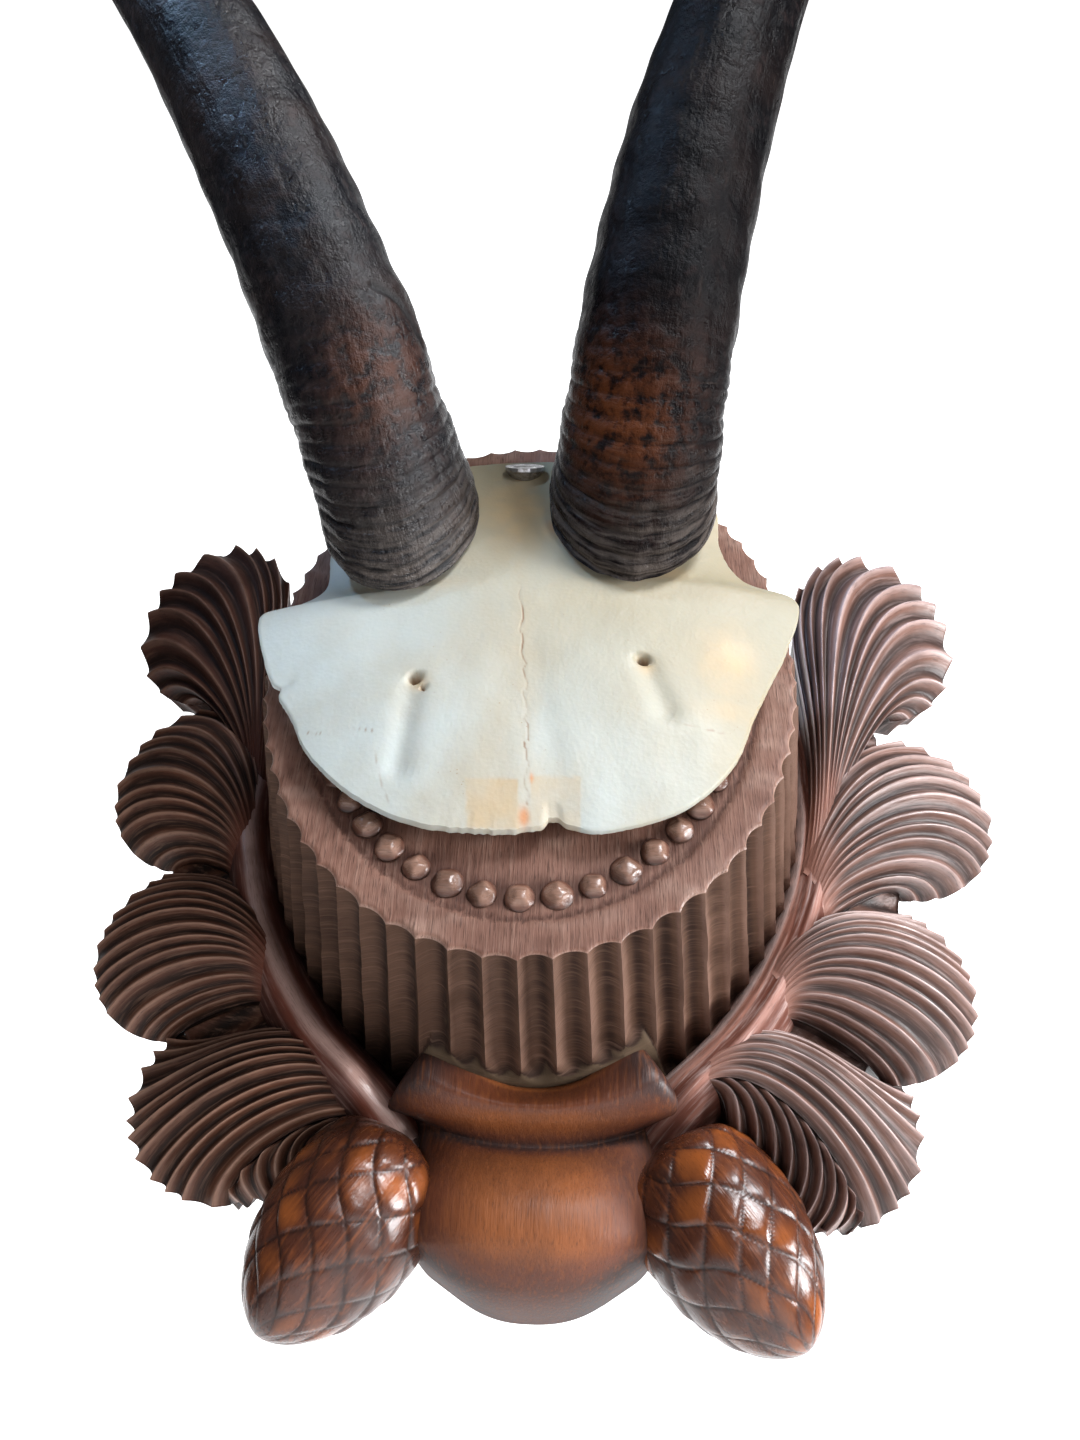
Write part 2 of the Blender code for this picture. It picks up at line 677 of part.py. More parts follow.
def make_screw(parts, cutters):
    """A countersunk screw: a turned profile with a slot across its head."""
    way_out, head = screw_frame()
    profile = (
        (0.0, 0.0),
        (SCREW_HEAD_RADIUS, 0.0),
        (SCREW_HEAD_RADIUS, -SCREW_HEAD_RIM),
        (SCREW_SHANK_RADIUS, -SCREW_HEAD_RIM - SCREW_HEAD_CONE),
        (SCREW_SHANK_RADIUS, -SCREW_LENGTH * 0.85),
        (0.0, -SCREW_LENGTH),
    )
    mesh = bpy.data.meshes.new("screw")
    edges = [(i, i + 1) for i in range(len(profile) - 1)]
    mesh.from_pydata([(x, 0.0, z) for x, z in profile], edges, [])
    screw = bpy.data.objects.new("screw", mesh)
    parts.objects.link(screw)
    turned = screw.modifiers.new("turned", "SCREW")
    turned.steps = SCREW_STEPS
    turned.render_steps = SCREW_STEPS
    turned.use_merge_vertices = True
    turned.merge_threshold = 0.00005
    screw.location = head
    screw.rotation_euler = (math.pi / 2 - SCREW_TILT, 0.0, 0.0)
    slot = box("slot", (0.0, 0.0, 0.0), SLOT_SIZE, cutters)
    slot.location = head
    slot.rotation_euler = (math.pi / 2 - SCREW_TILT, 0.0, 0.0)
    cut = screw.modifiers.new("slot", "BOOLEAN")
    cut.operation = "DIFFERENCE"
    cut.solver = "EXACT"
    cut.object = slot
    return screw


def finish(item, material):
    item.data.materials.clear()
    item.data.materials.append(material)
    item.data.shade_smooth()
    item.data.set_sharp_from_angle(angle=math.radians(32))


def main():
    clear_scene()
    parts = new_collection("chamois_horn_plaque")
    pieces = new_collection("plaque_pieces", hidden=True)
    cutters = new_collection("cutters", hidden=True)

    wood = new_material("dark_wood", (0.075, 0.038, 0.025), 0.45)
    bone = new_material("bone", (0.80, 0.74, 0.60), 0.50)
    horn_black = new_material("horn", (0.028, 0.022, 0.020), 0.38)
    steel = new_material("zinc_steel", (0.62, 0.60, 0.58), 0.35, metallic=1.0)

    make_screw_hole(cutters)

    finish(make_carved_plaque(parts, pieces, cutters), wood)
    finish(make_skull_plate(parts, cutters), bone)
    for horn in HORNS:
        finish(make_horn(horn, parts), horn_black)
    finish(make_screw(parts, cutters), steel)
    for helper in list(cutters.objects) + list(pieces.objects):
        helper.hide_render = True
        helper.display_type = "WIRE"


main()
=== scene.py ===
"""Chamois horn plaque: the looks, built over the fixed frame.

Metres, +Z up, wall plane y = 0, front along -Y. "Out" is a distance in front of the wall.
"""

import math
from collections import namedtuple

import bpy
import numpy as np
from mathutils import Matrix, Vector


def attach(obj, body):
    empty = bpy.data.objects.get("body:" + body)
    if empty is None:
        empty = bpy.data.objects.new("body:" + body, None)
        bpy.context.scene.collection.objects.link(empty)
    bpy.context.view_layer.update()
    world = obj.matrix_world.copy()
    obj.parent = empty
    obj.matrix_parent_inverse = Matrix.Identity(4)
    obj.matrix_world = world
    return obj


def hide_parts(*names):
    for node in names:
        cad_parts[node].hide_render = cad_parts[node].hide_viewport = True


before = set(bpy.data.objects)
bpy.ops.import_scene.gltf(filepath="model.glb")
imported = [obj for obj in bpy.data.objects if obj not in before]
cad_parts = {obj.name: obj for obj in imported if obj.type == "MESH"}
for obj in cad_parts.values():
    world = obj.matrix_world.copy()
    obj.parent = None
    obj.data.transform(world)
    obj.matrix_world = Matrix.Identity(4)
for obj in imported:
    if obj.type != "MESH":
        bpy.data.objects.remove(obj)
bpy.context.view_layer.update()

# The drum
FACE_OUT = 0.056
FACE_HALF_WIDTH = 0.0485
FACE_HALF_HEIGHT = 0.0607
FACE_BEVEL = 0.0004
FACE_RINGS = 44
WALL_FLARE = math.radians(9.5)
WALL_ROWS = 58
FLUTES = 64
PER_FLUTE = 14
FLUTE_DEPTH = 0.0021
# The flutes end round, 5 mm above the lip, and run down to the stems elsewhere
FLUTES_END_OUT = 0.006
FLUTES_OVER_LIP_OUT = 0.0204
FLUTE_END_ROUND = 0.0022
LIP_TIP_RISE = 0.005

BEAD_INSET = 0.0105
BEAD_RADIUS = 0.0025
BEAD_HEIGHT = 0.0016
BEAD_PITCH = 0.0059
BEADS_STOP_Z = 0.018
BEAD_FACETS = 4
SCORED_LINE = 0.0036

# The stems, with x outwards
STEM_COURSE = (
    (0.02, -0.0745), (0.039, -0.057), (0.0515, -0.037), (0.059, -0.015),
    (0.0618, 0.006), (0.0635, 0.026), (0.066, 0.044),
)
STEM_HALF_WIDTH = (0.0078, 0.0066)
STEM_OUT = (0.0235, 0.012)
STEM_STATIONS = 150
STEM_TURNS = 60
GROOVE_DEPTH = 0.001

# The leaf lobes, with x outwards. stem_shares is the stretch of stem that a lobe stands on, starts is
# where its first and last ribs leave the stem, and pleat holds their depths.
Lobe = namedtuple("Lobe", "stem_shares starts middle radii angles endings ribs crest pleat fold tooth")
LEFT_LOBES = (
    Lobe((0.96, 0.74), (0.6, 0.68), (0.082, 0.054), (0.0185, 0.0275),
         (158, -95), (84, -45), 12, 0.009, (0.0014, 0.0012), 0.42, 0.05),
    Lobe((0.76, 0.45), (0.5, 0.45), (0.0745, 0.004), (0.0195, 0.0225),
         (78, -92), (22, -48), 12, 0.009, (0.0007, 0.0009), 0.45, 0.013),
    Lobe((0.5, 0.22), (0.3, 0.24), (0.0685, -0.036), (0.019, 0.0195),
         (66, -92), (14, -52), 13, 0.01, (0.0007, 0.0009), 0.45, 0.013),
    Lobe((0.28, 0.02), (0.11, 0.03), (0.052, -0.066), (0.021, 0.019),
         (44, -142), (26, -128), 15, 0.008, (0.001, 0.0013), 0.4, 0.05),
)
RIGHT_LOBES = (
    Lobe((0.96, 0.74), (0.44, 0.58), (0.0815, 0.0515), (0.0195, 0.0275),
         (152, -88), (74, -45), 12, 0.01, (0.0019, 0.0015), 0.4, 0.06),
    Lobe((0.76, 0.45), (0.45, 0.38), (0.079, -0.0015), (0.02, 0.021),
         (82, -98), (24, -58), 12, 0.011, (0.0009, 0.0016), 0.58, 0.03),
    Lobe((0.5, 0.22), (0.27, 0.23), (0.068, -0.042), (0.019, 0.019),
         (66, -95), (16, -62), 13, 0.012, (0.0009, 0.0019), 0.48, 0.03),
    Lobe((0.28, 0.02), (0.13, 0.05), (0.052, -0.0675), (0.02, 0.0195),
         (22, -148), (2, -130), 13, 0.0115, (0.001, 0.0019), 0.45, 0.045),
)
RIB_SPREAD = (-0.003, 0.0042)
RIB_STEPS = 14
LEAF_EDGE_OUT = 0.006
LEAF_UNDERCUT = 0.86
LEAF_UNEVEN = 0.00016
BED_REACH = (0.023, 0.0125)
BED_OUT = (0.0135, 0.0065)
BED_WAVES = 190
BED_STATIONS = 120
BED_ROWS = 24
SIDE_ROWS = 8

# last_rib is the rib at which the lowest lobe turns under in pleats, and crest_at is where the stem's
# crest runs, rubbed smooth and painted pale as a highlight, from -1 at its inner edge to 1 at its outer edge
Side = namedtuple("Side", "name outwards lobes last_rib seed grooves crest_at pleats pleat_depth pleat_seed")
SIDES = (
    Side("left", -1, LEFT_LOBES, 0.74, 0, 0, -0.1, 6, 0.0012, 1.5),
    Side("right", 1, RIGHT_LOBES, 0.54, 2, 5, -0.55, 10, 0.0019, 3.5),
)

# The boss: rows of height, distance out, half width, how much the row's ends rise and stand out, and
# how round the row is, from 0 for a square end
BOSS_X = 0.0024
BOSS_ROWS = (
    (-0.064, 0.015, 0.016, 0.007, 0.0058, 0.2),
    (-0.0668, 0.0186, 0.017, 0.0088, 0.006, 0.12),
    (-0.0674, 0.0196, 0.0176, 0.0092, 0.006, 0.1),
    (-0.0684, 0.0204, 0.0192, 0.0078, 0.0058, 0.1),
    (-0.0709, 0.0217, 0.023, 0.005, 0.0056, 0.14),
    (-0.073, 0.02, 0.0262, 0.0034, 0.0026, 0.2),
    (-0.0746, 0.0174, 0.0246, 0.005, 0, 0.24),
    (-0.076, 0.0158, 0.0224, 0.0064, 0, 0.3),
    (-0.0774, 0.0172, 0.0212, 0.0056, 0, 0.34),
    (-0.08, 0.0202, 0.0208, 0.0036, 0, 0.38),
    (-0.083, 0.0228, 0.0208, 0.0024, 0, 0.38),
    (-0.0865, 0.0246, 0.0209, 0.0014, 0, 0.38),
    (-0.09, 0.025, 0.0207, 0.001, 0, 0.4),
    (-0.093, 0.0242, 0.0203, 0.002, 0, 0.42),
    (-0.0955, 0.0222, 0.0199, 0.004, 0, 0.44),
    (-0.0975, 0.0194, 0.0192, 0.0052, 0, 0.44),
    (-0.099, 0.0158, 0.018, 0.0056, 0, 0.42),
    (-0.0999, 0.01, 0.016, 0.0052, 0, 0.36),
    (-0.1004, 0.0006, 0.012, 0.0032, 0, 0.3),
)
BOSS_STATIONS = 190
BOSS_TURNS = 130
COVE_Z = -0.0762
LIP_Z = (-0.0726, -0.0678)
LIP_TIP_X = 0.017

Cone = namedtuple("Cone", "side top tip radius out")
CONES = (
    Cone("left", (-0.0195, -0.0745), (-0.04, -0.1036), 0.0135, 0.0122),
    Cone("right", (0.0247, -0.0745), (0.0452, -0.1036), 0.0135, 0.0122),
)
CONE_WIDEST = 0.42
CONE_END = 1.04
CONE_TURNS = 190
# Scales round the cone along each of the two ways that the net runs
NET = (11, 10)

# How far each hidden back stands in front of the wall, so that no two lie in one plane
CONE_BACK = 0.0007
STEM_BACK = 0.0006
BED_BACK = 0.0009
PLEAT_BACK = 0.0005
BACK_RELIEF = 0.35

# The skull plate
PLATE_OUT = 0.0585
PLATE_EDGE = 0.0026
PLATE_DOME = 0.0052
PLATE_MIDDLE = (-0.001, 0.01)
PLATE_POINTS = 560
PLATE_RINGS = 84
PLATE_OUTLINE = (
    (-0.0502, 0.0045), (-0.0445, 0.007), (-0.039, 0.012), (-0.0395, 0.022), (-0.0385, 0.033),
    (-0.03, 0.043), (-0.016, 0.048), (0.0005, 0.05), (0.015, 0.049), (0.029, 0.046),
    (0.036, 0.036), (0.0362, 0.024), (0.04, 0.015), (0.0494, 0.0098), (0.0462, -0.002),
    (0.0425, -0.01), (0.039, -0.0175), (0.0345, -0.0278), (0.0257, -0.0365), (0.0132, -0.0408),
    (0.006, -0.04), (-0.003, -0.0414), (-0.016, -0.0403), (-0.0272, -0.0352),
    (-0.0362, -0.0268), (-0.0405, -0.019), (-0.0437, -0.014), (-0.0475, -0.006),
)
SUTURE = (
    (-0.0022, 0.034), (-0.0024, 0.023), (-0.002, 0.012), (-0.0019, 0.006), (-0.0014, 0.001),
    (-0.0012, -0.004), (-0.0006, -0.009), (-0.0003, -0.014), (0.0001, -0.019), (0.0004, -0.024),
    (0.0006, -0.03), (0.0008, -0.04),
)
SIDE_SUTURES = (
    ((-0.0372, -0.0226), (-0.033, -0.0232), (-0.029, -0.0226), (-0.025, -0.0234)),
    ((0.033, -0.0218), (0.029, -0.0212), (0.025, -0.0205), (0.0215, -0.02)),
    ((-0.0246, -0.0268), (-0.024, -0.03), (-0.0226, -0.0335), (-0.0214, -0.0372)),
)
# Each nerve hole, with the groove that runs down from it
NERVE_HOLES = (
    ((-0.0192, -0.0128), ((-0.0196, -0.015), (-0.02, -0.0215), (-0.0207, -0.0299))),
    ((0.02, -0.0078), ((0.0204, -0.009), (0.0218, -0.013), (0.0235, -0.0183))),
)
# Stains and rust on the bone: place, size and strength
STAINS = (
    ((-0.002, 0.031), (0.011, 0.014), 0.85),
    ((0.004, 0.024), (0.004, 0.005), 1.0),
    ((0.021, 0.0142), (0.0085, 0.0028), 0.95),
    ((0.035, -0.006), (0.0055, 0.008), 0.95),
    ((0.034, -0.017), (0.006, 0.003), 0.6),
    ((-0.025, 0.0095), (0.015, 0.0022), 0.6),
    ((-0.0186, -0.0138), (0.0022, 0.002), 0.8),
    ((0.0206, -0.0092), (0.002, 0.0024), 0.8),
    ((-0.01, 0.015), (0.005, 0.004), 0.3),
)
RUST = (
    ((0.0004, -0.0388), (0.0009, 0.0018), 1.0),
    ((0.0014, -0.0322), (0.0004, 0.001), 0.8),
    ((0.0046, 0.025), (0.0024, 0.003), 0.6),
)

# The horns. patch is the ruddy patch: distance from the foot, angle round the horn, strength. swell is
# how far the horn swells beside its slit, and 0 stands for a horn without one.
Horn = namedtuple("Horn", "name foot radius rise_angle rise_rate side_angle side_rate patch swell seed "
                          "dark brown shine")
# The right horn's darker colours and lower shine are painted shade: it is the left horn's look, dimmed
HORNS = (
    Horn("horn_left", (-0.0249, 0.0256), 0.015, 43.4, 200, -17.6, -120, (0.024, 1.1, 0.45), 0.0011, 71,
         (0.0025, 0.0025, 0.004), (0.011, 0.0065, 0.006), 0.22),
    Horn("horn_right", (0.0188, 0.0296), 0.0157, 42.0, 280, 5.2, 120, (0.019, 2.0, 1.2), 0, 83,
         (0.0012, 0.001, 0.0016), (0.006, 0.0034, 0.0032), 0.06),
)
HORN_FOOT_OUT = 0.0672
HORN_LENGTH = 0.245
HOOK_START = 0.155
HOOK_END = 0.24
HOOK_TURN = 100
LEAN_FADES = (0.12, 0.19)
HORN_TAPER = 0.6
HORN_TIP_TAPER = 0.12
HORN_TIP_RADIUS = 0.0006
HORN_SIDES = 128
FOOT_SLIDE_FADES = 0.034
GROWTH_RING = 0.0027
# The slit in the left horn: angle round the horn, and distance from the foot in 60ths of a metre
HORN_SLIT = ((0.85, 2.22), (0.62, 2.1), (0.42, 1.92), (0.3, 1.72))
SLIT_PER_METRE = 60

# Woods: colours in the hollows (painted shade), between, and on the crests (partly rubbed wear, partly a
# painted highlight), then roughness from and to, how much the fibres show, dust in the hollows, shine,
# and the colour at a lobe's foot
WOODS = {
    "drum_wood": ((0.018, 0.008, 0.005), (0.115, 0.06, 0.038), (0.24, 0.14, 0.102),
                  (0.5, 0.7), 0.8, 0.6, 0.2),
    "face_wood": ((0.085, 0.034, 0.022), (0.195, 0.094, 0.066), (0.33, 0.205, 0.158),
                  (0.42, 0.66), 1.3, 0.0, 0.3),
    "bead_wood": ((0.026, 0.01, 0.006), (0.12, 0.048, 0.03), (0.25, 0.14, 0.1),
                  (0.2, 0.32), 0.6, 0.0, 0.55),
    # The leaf woods are lit and darkened copies of one wood: painted shade on the left side, deepest on the
    # top left lobe, and painted light on the right side
    "leaf_wood_top_left": ((0.007, 0.002, 0.001), (0.044, 0.015, 0.009), (0.12, 0.062, 0.043),
                           (0.38, 0.54), 0.8, 0.0, 0.12, (0.07, 0.02, 0.012)),
    "leaf_wood_left": ((0.011, 0.004, 0.002), (0.108, 0.04, 0.022), (0.32, 0.178, 0.124),
                       (0.36, 0.52), 0.8, 0.0, 0.22, (0.15, 0.042, 0.024)),
    "leaf_wood_right": ((0.022, 0.008, 0.005), (0.19, 0.09, 0.063), (0.47, 0.335, 0.305),
                        (0.26, 0.42), 0.8, 0.0, 0.55, (0.4, 0.19, 0.14)),
    # The stem woods likewise: painted shade on the left copy, painted light on the right one
    "stem_wood_left": ((0.022, 0.006, 0.003), (0.14, 0.034, 0.018), (0.52, 0.33, 0.28),
                       (0.4, 0.52), 0.6, 0.0, 0.45),
    "stem_wood_right": ((0.15, 0.048, 0.03), (0.5, 0.24, 0.18), (0.8, 0.63, 0.58),
                        (0.36, 0.5), 0.9, 0.0, 0.45),
    "boss_wood": ((0.042, 0.02, 0.017), (0.145, 0.042, 0.018), (0.29, 0.088, 0.022),
                  (0.44, 0.54), 0.7, 0.0, 0.4),
    "cone_wood": ((0.026, 0.01, 0.007), (0.082, 0.024, 0.012), (0.33, 0.09, 0.02),
                  (0.12, 0.22), 0.5, 0.0, 0.62),
}
DUST = (0.15, 0.102, 0.062)

# Light and camera. cone is a lamp's cone in degrees, and None stands for a round area light.
Light = namedtuple("Light", "name place aim size power colour cone")
LIGHTS = (
    Light("window", (0.84, -1.4, 0.88), (0, -0.03, 0), 0.7, 37.0, (0.93, 0.96, 1.0), None),
    Light("side_window", (1.25, -0.42, -0.2), (0, -0.03, -0.02), 0.5, 24.0, (0.97, 0.98, 1.0), None),
    Light("horn_lamp", (-0.55, -0.75, 0.6), (-0.045, -0.11, 0.155), 0.12, 56.0, (0.42, 0.66, 1.0), 11),
    Light("front_window", (0.38, -1.2, 0.1), (0, -0.03, -0.05), 0.25, 2.6, (0.88, 0.94, 1.0), None),
    Light("fill", (0.7, -1.2, -0.6), (0, -0.03, 0), 0.9, 1.0, (1.0, 0.97, 0.94), None),
)
CAMERA_PLACE = (0.00743, -0.20563, -0.13198)
CAMERA_RIGHT = (0.9995, 0.0134, 0.0275)
CAMERA_UP = (-0.0134, -0.6161, 0.7875)
CAMERA_AHEAD = (-0.0275, 0.7875, 0.6157)
# Each paper: name, place, turn, half length and glow
PAPERS = (
    ("wall_paper", (0.0, 0.9, 1.2), (math.pi / 2, 0.0, 0.0), 2.4, 1.0),
    ("floor_paper", (0.0, -0.4, -1.1), (0.0, 0.0, 0.0), 1.4, 0.1),
)
PAPER_HALF_WIDTH = 1.6


# Numbers and meshes


def smooth_step(share):
    share = np.clip(share, 0.0, 1.0)
    return share * share * (3 - 2 * share)


def mixed(first, last, share):
    return first + (last - first) * share


def hill(distance, width):
    """1 at no distance, and near 0 from about twice the width."""
    return np.exp(-((distance / width) ** 2))


def places(x, y, z):
    """Points from three coordinates, each a number or an array."""
    return np.stack(np.broadcast_arrays(x, y, z), axis=-1)


def flat_places(x, z):
    return np.stack([x, z], axis=-1)


def unit(ways):
    return ways / np.linalg.norm(ways, axis=-1, keepdims=True)


def right_of(ways):
    return flat_places(ways[:, 1], -ways[:, 0])


def bent(start, first, second, end, share):
    """Points at these shares of the curves from start to end that lean towards first and second."""
    left = 1 - share
    leaning = 3 * left * left * share * first + 3 * left * share * share * second
    return left**3 * start + leaning + share**3 * end


def along(points, share, closed=False):
    """Points at these shares of a smooth curve through the points."""
    points = np.array(points, float)
    share = np.atleast_1d(np.asarray(share, float))
    spans = len(points) if closed else len(points) - 1
    place = share * spans
    span = np.clip(np.floor(place).astype(int), 0, spans - 1)
    t = (place - span)[:, None]
    picks = [span - 1, span, span + 1, span + 2]
    if closed:
        picks = [pick % len(points) for pick in picks]
    else:
        picks = [np.clip(pick, 0, len(points) - 1) for pick in picks]
    a, b, c, d = (points[pick] for pick in picks)
    return 0.5 * (2 * b + (c - a) * t + (2 * a - 5 * b + 4 * c - d) * t**2 + (3 * (b - c) + d - a) * t**3)


def lattice(points, seed):
    """A repeatable random number between 0 and 1 for each whole-numbered point."""
    mixed_up = np.sin(points @ np.array([127.1, 311.7, 74.7]) + seed * 17.17) * 43758.5453
    return mixed_up - np.floor(mixed_up)


def noise(points, scale, seed=0):
    """Smooth noise between -1 and 1 at the points, with lumps of about 1 / scale metres."""
    place = np.asarray(points, float) * scale
    cell = np.floor(place)
    t = place - cell
    t = t * t * (3 - 2 * t)
    total = 0.0
    for corner in np.ndindex(2, 2, 2):
        weight = np.prod(np.where(np.array(corner) == 1, t, 1 - t), axis=-1)
        total = total + weight * lattice(cell + np.array(corner), seed)
    return 2 * total - 1


def layered_noise(points, scale, seed=0, layers=3):
    total = 0.0
    for layer in range(layers):
        total = total + noise(points, scale * 2**layer, seed + layer) / 2**layer
    return total / 1.75


def grid_faces(rows, columns, closed=False, start=0):
    """Faces of a grid of points stored row by row, closed across if asked."""
    across = columns if closed else columns - 1
    row, column = np.meshgrid(np.arange(rows - 1), np.arange(across), indexing="ij")
    near = start + row * columns + column
    beside = start + row * columns + (column + 1) % columns
    return np.stack([near, beside, beside + columns, near + columns], axis=-1).reshape(-1, 4)


def tube_faces(rows, columns, open_start=False):
    """Faces of rings of points, with one face over the last ring and, unless open, over the first."""
    faces = list(grid_faces(rows, columns, closed=True))
    if not open_start:
        faces.append(range(columns))
    faces.append(range((rows - 1) * columns, rows * columns))
    return faces


def store(mesh, key, value):
    kind, field = ("FLOAT_VECTOR", "vector") if value.ndim == 2 else ("FLOAT", "value")
    mesh.attributes.new(key, kind, "POINT").data.foreach_set(field, value.astype(float).ravel())


def mesh_piece(name, rows, faces, material, values, node="carved_plaque", sharp=None):
    """A piece of the scene that stands for a node of the frame. rows and each of values are lists of
    arrays, and sharp is the angle in degrees from which an edge stays sharp."""
    mesh = bpy.data.meshes.new(name)
    mesh.from_pydata(np.concatenate(rows).tolist(), [], [list(map(int, face)) for face in faces])
    for key, value in values.items():
        store(mesh, key, np.concatenate(value))
    mesh.materials.append(material)
    mesh.shade_smooth()
    if sharp is not None:
        mesh.set_sharp_from_angle(angle=math.radians(sharp))
    made = bpy.data.objects.new(name, mesh)
    bpy.context.scene.collection.objects.link(made)
    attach(made, "root")
    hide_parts(node)
    return made


def ellipse_angles(half_width, half_height, count, start=0.0):
    """Angles that step round an ellipse in equal lengths of its edge."""
    fine = np.linspace(start, start + 2 * math.pi, 4000)
    steps = np.hypot(half_width * np.sin(fine), half_height * np.cos(fine))
    length = np.concatenate([[0], np.cumsum((steps[1:] + steps[:-1]) / 2)])
    return np.interp(np.linspace(0, length[-1], count, endpoint=False), length, fine)


def on_ellipse(half_width, half_height, angles):
    points = flat_places(half_width * np.cos(angles), half_height * np.sin(angles))
    return points, unit(flat_places(np.cos(angles) / half_width, np.sin(angles) / half_height))


def ellipse_length(half_width, half_height):
    fine = np.linspace(0, 2 * math.pi, 2000)
    return float(np.hypot(np.diff(half_width * np.cos(fine)), np.diff(half_height * np.sin(fine))).sum())


# Materials


class Nodes:
    """Short ways to add and join shader nodes in one material."""

    def __init__(self, name):
        self.material = bpy.data.materials.new(name)
        self.material.use_nodes = True
        self.tree = self.material.node_tree
        self.shader = self.tree.nodes["Principled BSDF"]

    def put(self, socket, value):
        if isinstance(value, bpy.types.NodeSocket):
            self.tree.links.new(value, socket)
        elif isinstance(value, (tuple, list)) and socket.type == "RGBA" and len(value) == 3:
            socket.default_value = (*value, 1.0)
        else:
            socket.default_value = value

    def add(self, kind, inputs=None, **settings):
        node = self.tree.nodes.new(kind)
        for key, value in settings.items():
            setattr(node, key, value)
        for key, value in (inputs or {}).items():
            self.put(node.inputs[key], value)
        return node

    def place(self):
        return self.add("ShaderNodeNewGeometry").outputs["Position"]

    def value(self, name, vector=False):
        node = self.add("ShaderNodeAttribute", attribute_name=name)
        return node.outputs["Vector" if vector else "Fac"]

    def stretched(self, vector, scale, shift=(0, 0, 0)):
        inputs = {"Vector": vector, "Scale": scale, "Location": shift}
        return self.add("ShaderNodeMapping", inputs).outputs["Vector"]

    def noise(self, vector, scale, detail=4.0, roughness=0.55):
        inputs = {"Vector": vector, "Scale": scale, "Detail": detail, "Roughness": roughness}
        return self.add("ShaderNodeTexNoise", inputs).outputs["Fac"]

    def spots(self, vector, scale):
        return self.add("ShaderNodeTexVoronoi", {"Vector": vector, "Scale": scale}).outputs["Distance"]

    def math(self, operation, first, second, clamp=False):
        inputs = {0: first, 1: second}
        return self.add("ShaderNodeMath", inputs, operation=operation, use_clamp=clamp).outputs[0]

    def span(self, value, low, high, first=0.0, last=1.0):
        inputs = {"Value": value, "From Min": low, "From Max": high, "To Min": first, "To Max": last}
        return self.add("ShaderNodeMapRange", inputs, interpolation_type="SMOOTHSTEP").outputs["Result"]

    def blend(self, share, first, last):
        node = self.add("ShaderNodeMix", {0: share, 6: first, 7: last}, data_type="RGBA")
        return node.outputs[2]

    def tint(self, colour, value, low, high, most, shade):
        """The colour, with none to most of the shade over it as the value goes from low to high."""
        return self.blend(self.span(value, low, high, 0.0, most), colour, shade)

    def bump(self, height, strength, distance, before=None):
        inputs = {"Height": height, "Strength": strength, "Distance": distance}
        if before is not None:
            inputs["Normal"] = before
        return self.add("ShaderNodeBump", inputs).outputs["Normal"]

    def finish(self, colour, roughness, normal=None, **fixed):
        self.put(self.shader.inputs["Base Color"], colour)
        self.put(self.shader.inputs["Roughness"], roughness)
        if normal is not None:
            self.put(self.shader.inputs["Normal"], normal)
        for key, value in fixed.items():
            self.shader.inputs[key.replace("_", " ")].default_value = value
        return self.material


def carved_wood(name, deep, middle, high, gloss, fibre, dust, shine, foot=None):
    """Stained carved wood. "relief" runs from 0 in the hollows to 1 on the crests: the deep colour it puts
    in the hollows is painted shade, and the pale colour on the crests is partly rubbed wear and partly a
    painted highlight. "flow" holds the distance along the fibres or ribs and across them, in metres.
    "polish" is 1 where hands have rubbed the edge smooth."""
    n = Nodes(name)
    place = n.place()
    flow = n.value("flow", vector=True)
    relief = n.value("relief")
    blotch = n.noise(place, 55.0, 3.0)
    streaks = n.noise(n.stretched(flow, (90.0, 1500.0, 900.0)), 1.0, 4.0, 0.6)
    fine = n.noise(n.stretched(flow, (350.0, 4500.0, 2500.0)), 1.0, 3.0, 0.6)
    # Painted shade in the hollows and a painted highlight on the crests, both from the relief
    colour = n.blend(n.span(relief, 0.0, 0.55), deep, middle)
    colour = n.tint(colour, relief, 0.5, 1.0, 1.0, high)
    if foot is not None:
        colour = n.tint(colour, n.value("rooted"), 0.0, 1.0, 0.9, foot)
    colour = n.tint(colour, blotch, 0.4, 0.7, 0.4, deep)
    colour = n.tint(colour, streaks, 0.46, 0.72, 0.35, high)
    colour = n.tint(colour, fine, 0.52, 0.7, 0.55 * fibre, tuple(0.45 * part for part in deep))
    if dust > 0:
        colour = n.tint(colour, relief, 0.12, 0.0, dust, DUST)
    rough = n.span(streaks, 0.2, 0.8, gloss[0], gloss[1])
    rough = n.math("ADD", rough, n.span(relief, 1.0, 0.2, 0.0, 0.16), clamp=True)
    rough = n.math("SUBTRACT", rough, n.math("MULTIPLY", n.value("polish"), 0.24), clamp=True)
    normal = n.bump(streaks, 0.25 * fibre, 0.0006)
    normal = n.bump(fine, 0.3 * fibre, 0.00022, normal)
    normal = n.bump(n.noise(place, 260.0, 2.0), 0.18, 0.0006, normal)
    return n.finish(colour, rough, normal, IOR=1.5, Specular_IOR_Level=shine)


